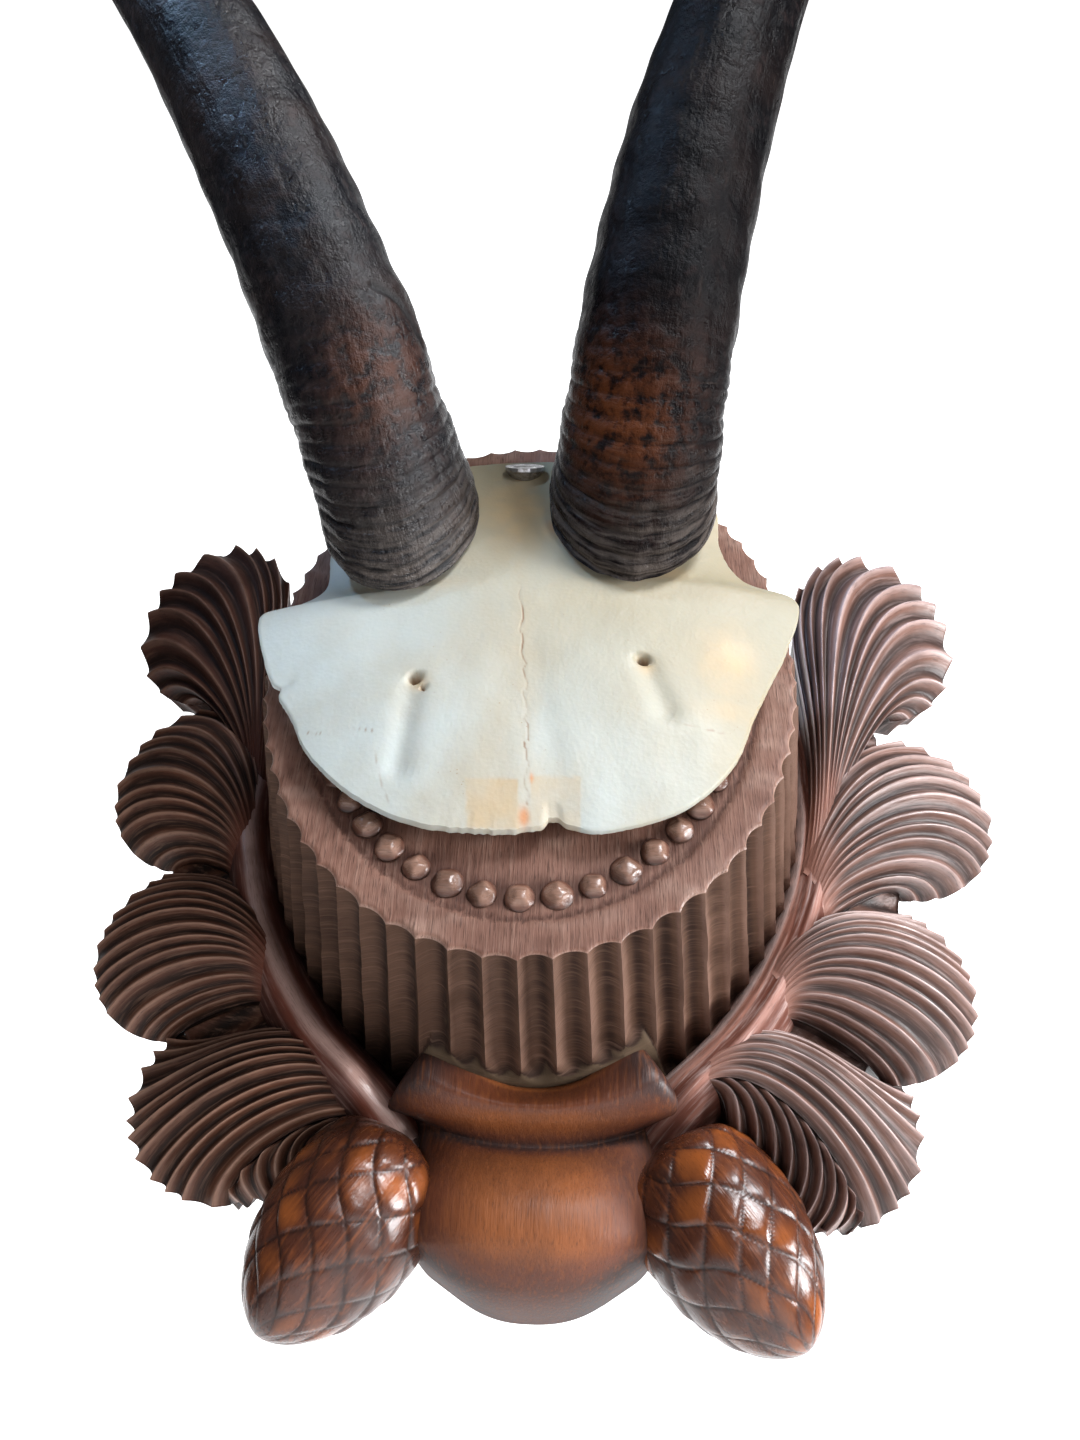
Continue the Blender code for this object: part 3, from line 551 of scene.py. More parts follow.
def bone_material():
    """Bone, cool at its lower left and warmer towards the top, with clouds, stains, cracks and pores."""
    n = Nodes("skull_bone")
    place = n.place()
    apart = n.add("ShaderNodeSeparateXYZ", {0: place})
    slanted = n.math("ADD", n.math("MULTIPLY", apart.outputs["X"], 0.9), apart.outputs["Z"])
    colour = n.blend(n.span(slanted, -0.05, 0.03), (0.5, 0.545, 0.53), (0.34, 0.298, 0.205))
    clouds = n.noise(place, 45.0, 5.0)
    colour = n.tint(colour, clouds, 0.42, 0.75, 0.55, (0.43, 0.395, 0.31))
    yellow = n.noise(n.stretched(place, (1.0, 1.0, 0.6), (3.1, 0.0, 0.4)), 28.0, 4.0)
    colour = n.tint(colour, yellow, 0.48, 0.76, 0.55, (0.42, 0.315, 0.175))
    colour = n.tint(colour, n.value("stain"), 0.0, 1.0, 0.95, (0.5, 0.36, 0.2))
    colour = n.tint(colour, n.value("rust"), 0.0, 1.0, 0.8, (0.55, 0.2, 0.05))
    colour = n.tint(colour, n.value("crack"), 0.0, 1.0, 0.85, (0.22, 0.11, 0.05))
    pores = n.span(n.spots(place, 900.0), 0.16, 0.06)
    speck = n.math("MULTIPLY", pores, n.span(n.noise(place, 120.0, 2.0), 0.55, 0.68))
    colour = n.blend(n.math("MULTIPLY", speck, 0.55), colour, (0.3, 0.18, 0.09))
    rough = n.span(clouds, 0.3, 0.7, 0.42, 0.6)
    normal = n.bump(n.noise(place, 420.0, 4.0), 0.22, 0.0004)
    normal = n.bump(n.spots(place, 1300.0), 0.12, 0.0002, normal)
    return n.finish(colour, rough, normal, IOR=1.5, Subsurface_Weight=0.25,
                    Subsurface_Radius=(0.003, 0.0018, 0.001))


def horn_material(name, dark, brown, shine):
    """Weathered horn: mottled and pitted, ringed and frayed near its foot, with a ruddy patch."""
    n = Nodes(name)
    place = n.place()
    flow = n.value("flow", vector=True)
    relief = n.value("relief")
    ringed = n.value("ringed")
    furrows = n.noise(n.stretched(flow, (130.0, 620.0, 620.0)), 1.0, 5.0, 0.65)
    rings = n.noise(n.stretched(flow, (1500.0, 110.0, 110.0)), 1.0, 4.0, 0.6)
    mottle = n.noise(place, 330.0, 5.0, 0.68)
    colour = n.blend(n.span(n.noise(place, 70.0, 4.0), 0.35, 0.7), dark, brown)
    colour = n.tint(colour, mottle, 0.52, 0.74, 0.6, tuple(3.2 * part for part in brown))
    colour = n.tint(colour, furrows, 0.56, 0.78, 0.45, (0.036, 0.024, 0.02))
    pale = n.math("MULTIPLY", ringed, n.span(rings, 0.55, 0.75, 0.0, 0.6))
    colour = n.blend(pale, colour, (0.05, 0.037, 0.031))
    ruddy = n.math("MULTIPLY", n.value("warm"), n.span(mottle, 0.36, 0.6))
    colour = n.blend(ruddy, colour, (0.13, 0.036, 0.01))
    fray = n.math("MULTIPLY", n.value("fray"), n.span(rings, 0.35, 0.62))
    colour = n.blend(fray, colour, (0.07, 0.056, 0.048))
    colour = n.tint(colour, relief, 0.45, 0.0, 0.85, (0.003, 0.0025, 0.003))
    rough = n.span(mottle, 0.3, 0.7, 0.16, 0.42)
    rough = n.math("ADD", rough, n.span(relief, 0.9, 0.0, 0.0, 0.2), clamp=True)
    normal = n.bump(furrows, 0.3, 0.001)
    normal = n.bump(n.math("MULTIPLY", rings, ringed), 0.4, 0.0006, normal)
    normal = n.bump(mottle, 0.55, 0.0013, normal)
    return n.finish(colour, rough, normal, IOR=1.54, Specular_IOR_Level=shine)


def steel_material():
    n = Nodes("screw_steel")
    wear = n.noise(n.place(), 900.0, 4.0)
    colour = n.blend(n.span(wear, 0.4, 0.7), (0.52, 0.51, 0.53), (0.34, 0.32, 0.31))
    rough = n.span(wear, 0.3, 0.7, 0.25, 0.5)
    return n.finish(colour, rough, n.bump(wear, 0.2, 0.0002), Metallic=1.0)


# The carved plaque


def flute_marks():
    """Where each point of the drum's edge lies in its flute: angle, flute, share across and hollow."""
    angles = ellipse_angles(FACE_HALF_WIDTH, FACE_HALF_HEIGHT, FLUTES * PER_FLUTE)
    index = np.arange(len(angles))
    flute = index // PER_FLUTE
    across = (index % PER_FLUTE) / PER_FLUTE
    depth = 0.8 + 0.45 * lattice(places(flute, 0, 0), 5)
    hollow = (1 - np.abs(2 * across - 1) ** 2.2) * depth
    return angles, flute, across, hollow


def flute_scoop(hollow, down):
    """How deep the flutes are cut at this distance below the face."""
    return FLUTE_DEPTH * hollow * smooth_step(down / 0.0012 + 0.35)


def make_drum_wall(material):
    """The flared wall with its gouged flutes: uneven hollows that end round at the foot, and a flat back."""
    angles, flute, across, hollow = flute_marks()
    points, normals = on_ellipse(FACE_HALF_WIDTH, FACE_HALF_HEIGHT, angles)
    count = len(angles)
    below = points[:, 1] < 0
    off_lip = np.abs(points[:, 0] - BOSS_X) / LIP_TIP_X
    lip_edge = FLUTES_OVER_LIP_OUT + LIP_TIP_RISE * off_lip**2
    past_lip = smooth_step((off_lip - 0.95) / 0.25)
    ends = np.where(below, mixed(lip_edge, FLUTES_END_OUT, past_lip), FLUTES_END_OUT)
    ends = ends + FLUTE_END_ROUND * np.abs(2 * across - 1) ** 2
    # Painted light and shade across each flute: one side lighter, the other darker
    painted_flute_shade = 0.26 * np.sin(2 * math.pi * across) * np.where(below, 1.0, -1.0)
    run = np.arange(count) / count * ellipse_length(FACE_HALF_WIDTH, FACE_HALF_HEIGHT)
    rows, reliefs, flows = [], [], []
    for out in [FACE_OUT - FACE_BEVEL, *np.linspace(FACE_OUT - 0.0009, 0.0, WALL_ROWS)]:
        down = FACE_OUT - out
        foot = smooth_step((out - ends) / 0.0028)
        ripple = noise(places(flute * 3.7, out * 900, across * 1.2), 1.0, 3)
        sway = noise(places(flute * 2.3, out * 120, across * 0.6), 1.0, 4)
        uneven = 0.00007 * ripple + 0.00025 * sway - flute_scoop(hollow, down)
        point = points + normals * (down * math.tan(WALL_FLARE) + uneven * foot)[:, None]
        x = point[:, 0]
        rows.append(places(x, -out, point[:, 1]))
        # Despite its name, worn is painted light, not wear: the flutes are coloured darker on the left of the
        # drum and lighter to the right, and their hollows darker as painted shade
        worn = 0.42 + 0.58 * smooth_step((x + 0.04) / 0.055) + 0.3 * smooth_step((x - 0.008) / 0.03)
        bare = (0.88 - 0.5 * np.minimum(hollow, 1.0) + painted_flute_shade) * worn
        reliefs.append(np.clip(bare * foot + 0.08 * ripple, 0, 1))
        flows.append(places(run, out, flute * 0.01))
    back = rows[-1] * 0.99
    rows.append(back)
    reliefs.append(np.full(count, BACK_RELIEF))
    flows.append(back[:, [2, 0, 1]])
    faces = tube_faces(len(rows), count, open_start=True)
    return mesh_piece("drum_wall", rows, faces, material, {"relief": reliefs, "flow": flows}, sharp=40)


def face_hollow(x, z):
    """Shallow gouge marks over the face, and the scored line just outside the beads."""
    marks = 0.0003 * layered_noise(places(x, 0, z) * np.array([1.0, 1.0, 1.5]), 150.0, 9)
    inset = SCORED_LINE - BEAD_INSET
    ring = np.hypot(x / (FACE_HALF_WIDTH + inset), z / (FACE_HALF_HEIGHT + inset))
    return marks - 0.00045 * hill(ring - 1.0, 0.009) - 0.0005 * hill(ring - 0.93, 0.055)


def make_drum_face(material):
    """The flat front of the drum, with an uneven rim where the flutes bite into it."""
    angles, _, _, hollow = flute_marks()
    points, normals = on_ellipse(FACE_HALF_WIDTH, FACE_HALF_HEIGHT, angles)
    down = 0.0001
    rim = points + normals * (down * math.tan(WALL_FLARE) - flute_scoop(hollow, down))[:, None]
    rows, reliefs, polishes = [], [], []
    for share in [1.0, 0.992, *np.linspace(0.98, 0.4, FACE_RINGS), 0.2, 0.02]:
        x, z = rim[:, 0] * share, rim[:, 1] * share
        marks = face_hollow(x, z)
        at_rim = share == 1.0
        out = FACE_OUT - FACE_BEVEL if at_rim else FACE_OUT + marks
        rows.append(places(x, -out, z))
        # The rim ring takes the crest colour as a painted highlight along the bevel, and low gouge marks are
        # painted darker as shade
        reliefs.append(np.clip(0.55 + 0.4 * at_rim + marks / 0.0007, 0, 1))
        polishes.append(np.full(len(x), float(share > 0.99)))
    x, y, z = np.concatenate(rows).T
    values = {"relief": reliefs, "flow": [places(z * 0.9 + x * 0.4, x, y)], "polish": polishes}
    faces = grid_faces(len(rows), len(angles), closed=True)
    return mesh_piece("drum_face", rows, faces, material, values)


def make_beads(material):
    """Worn carved beads, each with facets cut by the gouge."""
    half_width = FACE_HALF_WIDTH - BEAD_INSET
    half_height = FACE_HALF_HEIGHT - BEAD_INSET
    count = round(ellipse_length(half_width, half_height) / BEAD_PITCH)
    angles = ellipse_angles(half_width, half_height, count, start=-math.pi / 2)
    polar = np.linspace(0.02, math.pi / 2 + 0.25, 16)
    turn = np.linspace(0, 2 * math.pi, 26, endpoint=False)
    p, t = np.meshgrid(polar, turn, indexing="ij")
    ball = places(np.sin(p) * np.cos(t), np.cos(p), np.sin(p) * np.sin(t)).reshape(-1, 3)
    rows, faces, reliefs = [], [], []
    for number, (x, z) in enumerate(on_ellipse(half_width, half_height, angles)[0]):
        if z > BEADS_STOP_Z:
            continue
        start = len(rows) * len(ball)
        size = 1 + 0.07 * math.sin(number * 2.4)
        facets = 1.0
        for cut in range(BEAD_FACETS):
            turned = cut * 1.57 + number * 0.8
            way = unit(np.array([math.cos(turned), 0.8 + 0.3 * math.sin(cut + number), math.sin(turned)]))
            facets = np.minimum(facets, 0.86 / np.maximum(ball @ way, 0.02))
        worn = 0.05 * noise(ball * 1.7 + number * 3.1, 1.0, 17)
        shape = ball * (facets + worn)[:, None]
        width = BEAD_RADIUS * size
        height = BEAD_HEIGHT * size * shape[:, 1]
        rows.append(places(x + width * shape[:, 0], -FACE_OUT + 0.0003 - height, z + width * shape[:, 2]))
        faces.extend(grid_faces(len(polar), len(turn), closed=True, start=start))
        faces.append(range(start, start + len(turn)))
        # Each bead is coloured lighter on top and darker down to where it meets the face: painted shade at
        # its foot
        reliefs.append(np.clip(ball[:, 1] * 1.3, 0, 1))
    return mesh_piece("beads", rows, faces, material, {"relief": reliefs, "flow": rows}, sharp=50)


def stem_height(share):
    """The stem's crest: it rises from the lip and sinks between the lobes higher up."""
    height = mixed(*STEM_OUT, share) * (0.45 + 0.55 * smooth_step(share / 0.1))
    lower = 1 - 0.45 * smooth_step((share - 0.5) / 0.35)
    upper = 1 - 0.6 * smooth_step((share - 0.82) / 0.18)
    return height * (lower * upper)


def stem_level(across):
    """The stem's height as a share of its crest, from -1 at one edge to 1 at the other."""
    return np.maximum(np.cos(math.pi / 2 * across), 0) ** 0.62


def stem_root(side, share):
    x, z = along(STEM_COURSE, share)[0]
    return side.outwards * x, z


def make_stem(side, material):
    """One stem: a smooth ridge on the left, a broad one cut by long grooves on the right."""
    shares = np.linspace(0.0, 1, STEM_STATIONS)
    middle = along(STEM_COURSE, shares)
    beside = right_of(unit(np.gradient(middle, axis=0)))
    run = np.concatenate([[0], np.cumsum(np.linalg.norm(np.diff(middle, axis=0), axis=1))])
    turns = np.linspace(-1, 1, STEM_TURNS)
    crest = hill(turns - side.crest_at, 0.3)
    rows, reliefs, flows = [], [], []
    for station, share in enumerate(shares):
        across = turns * mixed(*STEM_HALF_WIDTH, share)
        cut = 0.0
        for groove in range(side.grooves):
            at = -0.62 + 1.25 * (groove + 0.5) / side.grooves + 0.1 * math.sin(3 * share + groove * 2.1)
            cut = cut + hill(turns - at, 0.085)
        depth = GROOVE_DEPTH * cut * smooth_step(share * 3.0)
        flat = middle[station] + beside[station] * across[:, None]
        out = (stem_height(share) - depth) * stem_level(turns)
        rows.append(places(side.outwards * flat[:, 0], -out, flat[:, 1]))
        # A pale crest band as a painted highlight, and grooves painted darker as shade
        reliefs.append(np.clip(0.25 + 0.7 * crest - 0.35 * cut, 0, 1))
        flows.append(places(run[station], across, 0.0))
    points = np.concatenate(rows)
    points[:, 1] -= 0.00022 * layered_noise(points, 170.0, 21) * (points[:, 1] < -0.001)
    points[:, 1] = np.minimum(points[:, 1], -STEM_BACK)
    values = {"relief": reliefs, "flow": flows, "polish": [crest] * STEM_STATIONS}
    faces = tube_faces(STEM_STATIONS, STEM_TURNS)
    return mesh_piece(f"stem_{side.name}", [points], faces, material, values, sharp=60)


def make_leaf_bed(side, material):
    """The wood between a stem and the feet of its lobes, left lower than both."""
    share = np.linspace(0.04, 0.93, BED_STATIONS)
    middle = along(STEM_COURSE, share)
    beside = right_of(unit(np.gradient(middle, axis=0)))
    rows = []
    for reach in np.linspace(0.0, 1.0, BED_ROWS):
        flat = middle + beside * (reach * mixed(*BED_REACH, share))[:, None]
        out = mixed(*BED_OUT, reach) + 0.0005 * np.sin(share * BED_WAVES - reach * 9)
        rows.append(places(side.outwards * flat[:, 0], -out, flat[:, 1]))
    top = np.stack(rows)
    # The bed keeps to the hollow colours, darker than the lobes beside it: painted shade in the recess
    reliefs = np.tile(0.25 + 0.25 * np.sin(share * BED_WAVES), (BED_ROWS, 1))
    root = stem_root(side, 0.5)
    return closed_form(f"leaf_bed_{side.name}", top, reliefs, top, root, 0.97, BED_BACK, material)


def rib_wave(lobe, v):
    """1 on the sharp crest of each rib and 0 in the round hollow beside it, in uneven steps."""
    place = v * lobe.ribs
    place = place + 0.17 * np.sin(1.7 * place + 31 * lobe.middle[1]) + 0.1 * np.sin(0.9 * place)
    return (1 - np.abs(2 * (place % 1.0) - 1)) ** 1.9


def rib_points(lobe, u, v):
    """Points of a lobe in the plaque's plane: u runs from stem to edge, v across the ribs."""
    share = mixed(*lobe.starts, v)
    upwards = unit(along(STEM_COURSE, np.minimum(share + 0.02, 1.0)) - along(STEM_COURSE, share - 0.02))
    start = along(STEM_COURSE, share) + right_of(upwards) * mixed(*RIB_SPREAD, v)[:, None]
    angle = np.radians(mixed(*lobe.angles, v))
    reach = 1.0 - lobe.tooth * (1 - rib_wave(lobe, v))
    radial = flat_places(lobe.radii[0] * np.cos(angle), lobe.radii[1] * np.sin(angle))
    end = np.array(lobe.middle) + radial * reach[:, None]
    heading = np.radians(mixed(*lobe.endings, v))
    ending = flat_places(np.cos(heading), np.sin(heading))
    span = np.linalg.norm(end - start, axis=1, keepdims=True)
    first = start + upwards * span * mixed(0.46, 0.14, v**1.3)[:, None]
    second = end - ending * span * mixed(0.36, 0.18, v)[:, None]
    return bent(start, first, second, end, u[:, None])


def rib_outs(lobe, u, v):
    """How far out a lobe stands at these points: highest along its fold, with a wave for the ribs."""
    rising = np.sin(math.pi / 2 * np.clip(v / lobe.fold, 0, 1)) ** 0.8
    falling = np.cos(math.pi / 2 * np.clip((v - lobe.fold) / (1 - lobe.fold), 0, 1)) ** 0.8
    bulge = np.where(v < lobe.fold, rising, falling)
    share = mixed(*lobe.starts, v)
    across = np.clip(mixed(*RIB_SPREAD, v) / mixed(*STEM_HALF_WIDTH, share), -0.95, 0.95)
    stem = np.maximum(stem_height(share) * stem_level(across) - 0.0008, 0.0115)
    out = LEAF_EDGE_OUT + (stem - LEAF_EDGE_OUT) * (1 - u) ** 1.7
    out = out + lobe.crest * np.sin(math.pi * u**1.05) ** 0.9 * (0.3 + 0.7 * bulge)
    uneven = 0.75 + 0.5 * lattice(places(np.floor(v * lobe.ribs), 0, 0), 13)
    depth = mixed(*lobe.pleat, v) * 1.6 * np.minimum(1.0, u * 2.2) * (0.55 + 0.45 * u) * uneven
    return out + depth * (rib_wave(lobe, v) - 0.4)


def closed_form(name, top, reliefs, flows, root, undercut, back, material):
    """A carved form from its front, given as rows of points that end at its outer edge, with sides
    down to the wall. The outer edge is undercut towards the root."""
    rows, columns = top.shape[:2]
    index = np.arange(rows * columns).reshape(rows, columns)
    border = np.concatenate([index[0], index[1:, -1], index[-1, -2::-1], index[-2:0:-1, 0]])
    bend = np.repeat(smooth_step((np.linspace(0, 1, rows) - 0.55) / 0.4), columns)[border]
    front = top.reshape(-1, 3)
    relief = reliefs.reshape(-1)
    flow = flows.reshape(-1, 3)
    points, values, ways = [front], [relief], [flow]
    x, y, z = front[border].T
    for fall in np.linspace(0.1, 1.0, SIDE_ROWS):
        inward = 1 - bend * ((1 - undercut) * fall**0.7 - 0.01 * math.sin(math.pi * min(fall * 3, 1.0)))
        points.append(places(
            root[0] + (x - root[0]) * inward,
            y * (1 - fall) - back * fall,
            root[1] + (z - root[1]) * inward,
        ))
        # The sides darken as they fall towards the wall: painted shade under the undercut edge
        values.append(relief[border] * (1 - fall) ** 0.7 * 0.8)
        ways.append(flow[border] + np.array([0.006 * fall, 0.0, 0.0]))
    count = len(border)
    values[-1] = np.full(count, BACK_RELIEF)
    ways[-1] = points[-1][:, [2, 0, 1]]
    start = len(front)
    side = start + np.arange(count)
    faces = list(grid_faces(rows, columns))
    faces.extend(np.stack([border, np.roll(border, -1), np.roll(side, -1), side], axis=1))
    faces.extend(grid_faces(SIDE_ROWS, count, closed=True, start=start))
    faces.append(side + (SIDE_ROWS - 1) * count)
    return mesh_piece(name, points, faces, material, {"relief": values, "flow": ways})


def make_leaf(side, number, lobe, material):
    """One lobe: gouged ribs that arc from the stem to a toothed edge, and an undercut rim."""
    last_rib = side.last_rib if number == len(side.lobes) else 1.0
    seed = side.seed + number * 0.3
    columns = int(lobe.ribs * RIB_STEPS * last_rib) + 1
    us = np.concatenate([np.linspace(0, 0.9, 40), np.linspace(0.92, 1.0, 8)])
    v = np.linspace(0, last_rib, columns)
    rows = []
    for u in us:
        at = np.full(columns, u)
        flat = rib_points(lobe, at, v)
        rows.append(places(side.outwards * flat[:, 0], -rib_outs(lobe, at, v), flat[:, 1]))
    top = np.stack(rows)
    top[..., 1] -= LEAF_UNEVEN * layered_noise(top, 260.0, int(seed * 100))
    # Rib hollows painted dark as shade and crests painted pale, partly as a highlight; near the stem the
    # relief is even
    ribbed = 0.08 + 0.92 * rib_wave(lobe, v)
    reliefs = mixed(0.42, ribbed[None, :], smooth_step(us / 0.22)[:, None])
    flows = places(us[:, None] * 0.04, v[None, :] * 0.05, seed)
    root = stem_root(side, mixed(*lobe.stem_shares, 0.5))
    back = 0.0001 + 0.0003 * lobe.stem_shares[1]
    name = f"leaf_{side.name}_{number}"
    made = closed_form(name, top, reliefs, flows, root, LEAF_UNDERCUT, back, material)
    rooted = np.zeros(len(made.data.vertices))
    rooted[:len(us) * columns] = np.repeat(1 - smooth_step(us / 0.3), columns)
    store(made.data, "rooted", rooted)
    return made


def make_pleats(side, material):
    """The turned-under part of a lowest lobe: deep curved pleats from its midrib to the edge."""
    lobe = side.lobes[-1]
    columns = side.pleats * RIB_STEPS + 1
    a = np.linspace(0.06, 0.97, columns)
    v = side.last_rib + (1 - side.last_rib) * (1 - a)
    rib = np.full(columns, side.last_rib)
    start = rib_points(lobe, a, rib)
    start_out = rib_outs(lobe, a, rib) - 0.0006
    end = rib_points(lobe, np.full(columns, 0.985), v)
    ahead = unit(np.gradient(start, axis=0))
    away = right_of(ahead)
    span = np.linalg.norm(end - start, axis=1, keepdims=True)
    first = start + (away * 0.2 + ahead * 0.34) * span
    second = end - (away * 0.42 - ahead * 0.1) * span
    across = (a - a[0]) / (a[-1] - a[0]) * side.pleats % 1.0
    wave = (1 - np.abs(2 * across - 1)) ** 1.25
    rows = []
    bs = np.linspace(0, 1, 40)
    for b in bs:
        flat = bent(start, first, second, end, b)
        out = mixed(start_out, LEAF_EDGE_OUT, b**1.3) + 0.0035 * math.sin(math.pi * b)
        out = out + 2 * side.pleat_depth * (wave - 0.6) * min(1.0, 0.25 + 2.5 * b)
        rows.append(places(side.outwards * flat[:, 0], -out, flat[:, 1]))
    top = np.stack(rows)
    top[..., 1] -= LEAF_UNEVEN * layered_noise(top, 260.0, int(side.pleat_seed * 100) + 7)
    # Dark gaps between the pleats are painted shade, and their crests painted pale, partly as a highlight
    reliefs = np.tile(0.02 + 0.98 * wave, (len(bs), 1))
    flows = places(bs[:, None] * 0.02, a[None, :] * 0.03, side.pleat_seed + 0.1)
    root = stem_root(side, mixed(*lobe.stem_shares, 0.5))
    name = f"pleats_{side.name}"
    return closed_form(name, top, reliefs, flows, root, LEAF_UNDERCUT, PLEAT_BACK, material)


def make_boss(material):
    """The lip with its pointed ends, the cove below it and the round boss, in one surface."""
    side = np.sin(np.linspace(-math.pi / 2, math.pi / 2, BOSS_TURNS))
    facing = np.cos(np.linspace(-math.pi / 2, math.pi / 2, BOSS_TURNS))
    spread = np.sign(side) * np.abs(side) ** 0.96
    rows, reliefs, polishes = [], [], []
    for z, out, half_width, rise, stand, roundness in along(BOSS_ROWS, np.linspace(0, 1, BOSS_STATIONS)):
        level = np.maximum(facing, 0) ** max(roundness, 0.1)
        height = (out + stand * side**2) * level
        rows.append(places(BOSS_X + half_width * spread, -height, z + rise * np.abs(side) ** 2.3))
        cove = hill(z - COVE_Z, 0.0014)
        lip = smooth_step((z - LIP_Z[0]) / 0.0014) * smooth_step((LIP_Z[1] - z) / 0.0006)
        under = smooth_step((-0.0935 - z) / 0.006)
        shade = 0.78 * np.abs(side) ** 2.6 + 0.75 * cove + 0.6 * under
        reliefs.append(np.clip(0.85 - shade - 0.28 * lip, 0, 1))
        polishes.append(np.full(BOSS_TURNS, lip))
    points = np.concatenate(rows)
    points[:, 1] -= 0.00026 * layered_noise(points, 120.0, 31) * (points[:, 1] < -0.001)
    points[:, 1] = np.minimum(points[:, 1], 0.0)
    values = {"relief": reliefs, "flow": [points[:, [2, 0, 1]]], "polish": polishes}
    return mesh_piece("boss", [points], tube_faces(BOSS_STATIONS, BOSS_TURNS), material, values, sharp=45)


def make_cone(cone, material):
    """A closed cone with a net of cut lines between its raised scales."""
    top = np.array([cone.top[0], -cone.out, cone.top[1]])
    tip = np.array([cone.tip[0], -cone.out, cone.tip[1]])
    ahead = unit(tip - top)
    side = np.array([ahead[2], 0.0, -ahead[0]])
    front = np.array([0.0, -1.0, 0.0])
    shares = np.concatenate([np.linspace(0, 0.95, 150), np.linspace(0.956, CONE_END - 0.0005, 30)])
    turns = np.linspace(0, 2 * math.pi, CONE_TURNS, endpoint=False)
    around = np.cos(turns)[:, None] * side + np.sin(turns)[:, None] * front
    mirror = -1 if cone.side == "left" else 1
    rows, reliefs = [], []
    for share in shares:
        past = (share - CONE_WIDEST) / (CONE_END - CONE_WIDEST)
        bulge = max(1 - past * past, 0.0) ** 0.6 * (1 - max(1 - share / 0.14, 0.0) ** 2.5 * 0.75)
        wobble = 0.1 * np.sin(2 * turns + 4 * share) + 0.06 * np.sin(5 * turns + 9 * share)
        first = NET[0] * turns / (2 * math.pi) + (4.6 * share + wobble) * mirror
        second = NET[1] * turns / (2 * math.pi) - (4.2 * share - wobble) * mirror
        near_first = np.abs((first % 1.0) - 0.5) * 2
        near_second = np.abs((second % 1.0) - 0.5) * 2
        cut = hill(1 - np.maximum(near_first, near_second), 0.045)
        pillow = (1 - near_first**3) * (1 - near_second**3)
        tilt = ((first % 1.0) - (second % 1.0)) * mirror
        tint = lattice(places(np.floor(first) % NET[0], np.floor(second) % NET[1], 0), 11)
        carved = (0.00022 * pillow + 0.0005 * tilt * pillow - 0.00022 * cut) * min(1.0, bulge * 1.3)
        ring = mixed(top, tip, share) + (cone.radius * bulge + carved)[:, None] * around
        rows.append(ring)
        patchy = layered_noise(ring, 130.0, 19)
        reliefs.append(np.clip(0.2 + 0.35 * tint + 0.25 * pillow + 0.45 * patchy - 0.55 * cut, 0, 1))
    points = np.concatenate(rows)
    points[:, 1] = np.minimum(points[:, 1], -CONE_BACK)
    values = {"relief": reliefs, "flow": [places(points @ ahead, points @ side, points[:, 1])]}
    return mesh_piece(f"cone_{cone.side}", [points], tube_faces(len(shares), CONE_TURNS), material, values)


# Bone, horns and screw


def inside_spot(x, z, middle, size, softness=1.0):
    across = (x - middle[0]) / size[0]
    upright = (z - middle[1]) / size[1]
    return np.exp(-((across**2 + upright**2) ** softness))


def inside_patch(x, z, middle, size):
    """1 inside a patch with straight sides and 0 outside it."""
    across = np.abs(x - middle[0]) / size[0]
    upright = np.abs(z - middle[1]) / size[1]
    return smooth_step((1 - across) / 0.12) * smooth_step((1 - upright) / 0.12)


def near_line(x, z, points, width):
    """1 on a broken line through the points and 0 away from it."""
    best = np.full(np.shape(x), 1e9)
    for (x0, z0), (x1, z1) in zip(points[:-1], points[1:]):
        span = np.array([x1 - x0, z1 - z0])
        share = np.clip(((x - x0) * span[0] + (z - z0) * span[1]) / (span @ span), 0, 1)
        best = np.minimum(best, np.hypot(x - x0 - share * span[0], z - z0 - share * span[1]))
    return hill(best, width)


def plate_edge():
    """The plate's outline, and how far the wear has eaten into it at each point."""
    outline = along(PLATE_OUTLINE, np.arange(PLATE_POINTS) / PLATE_POINTS, closed=True)
    x, z = outline.T
    rough = noise(places(x, 0, z), 900.0, 41)
    ragged = 0.0003 * rough * (0.4 + 1.6 * inside_spot(x, z, (-0.005, -0.041), (0.008, 0.006)))
    notch = 0.0012 * inside_spot(x, z, (0.0052, -0.04), (0.0014, 0.004), 2.0)
    nick = 0.0012 * inside_spot(x, z, (-0.0445, -0.0135), (0.0008, 0.0012))
    return outline, unit(outline - PLATE_MIDDLE) * (notch + nick + np.abs(ragged))[:, None]


def plate_marks(points):
    """Relief and dark lines of the bone: sutures, the nerve holes with their grooves, and a pinhole."""
    x, z = points[:, 0], points[:, 2]
    relief = 0.00035 * layered_noise(points, 60.0, 51)
    squiggle = 0.00045 * noise(places(0, 0, z), 800.0, 67)
    suture = near_line(x + squiggle, z, SUTURE, 0.00018) * smooth_step((0.014 - z) / 0.01)
    crack = suture * (0.6 + 0.5 * noise(points, 500.0, 63))
    for line in SIDE_SUTURES:
        found = near_line(x + 0.5 * squiggle, z, line, 0.00015)
        suture = np.maximum(suture, found * 0.5)
        crack = np.maximum(crack, found * (0.55 + 0.45 * noise(points, 420.0, 65)))
    relief = relief - 0.00005 * suture
    for hole, groove in NERVE_HOLES:
        pit = inside_spot(x, z, hole, (0.0011, 0.0009), 1.5)
        relief = relief - 0.0024 * pit - 0.00055 * near_line(x, z, groove, 0.0022)
        crack = np.maximum(crack, pit * 0.9)
    pinhole = inside_spot(x, z, (-0.0176, -0.015), (0.0006, 0.0005), 1.5)
    return relief - 0.001 * pinhole, np.maximum(crack, pinhole * 0.8)


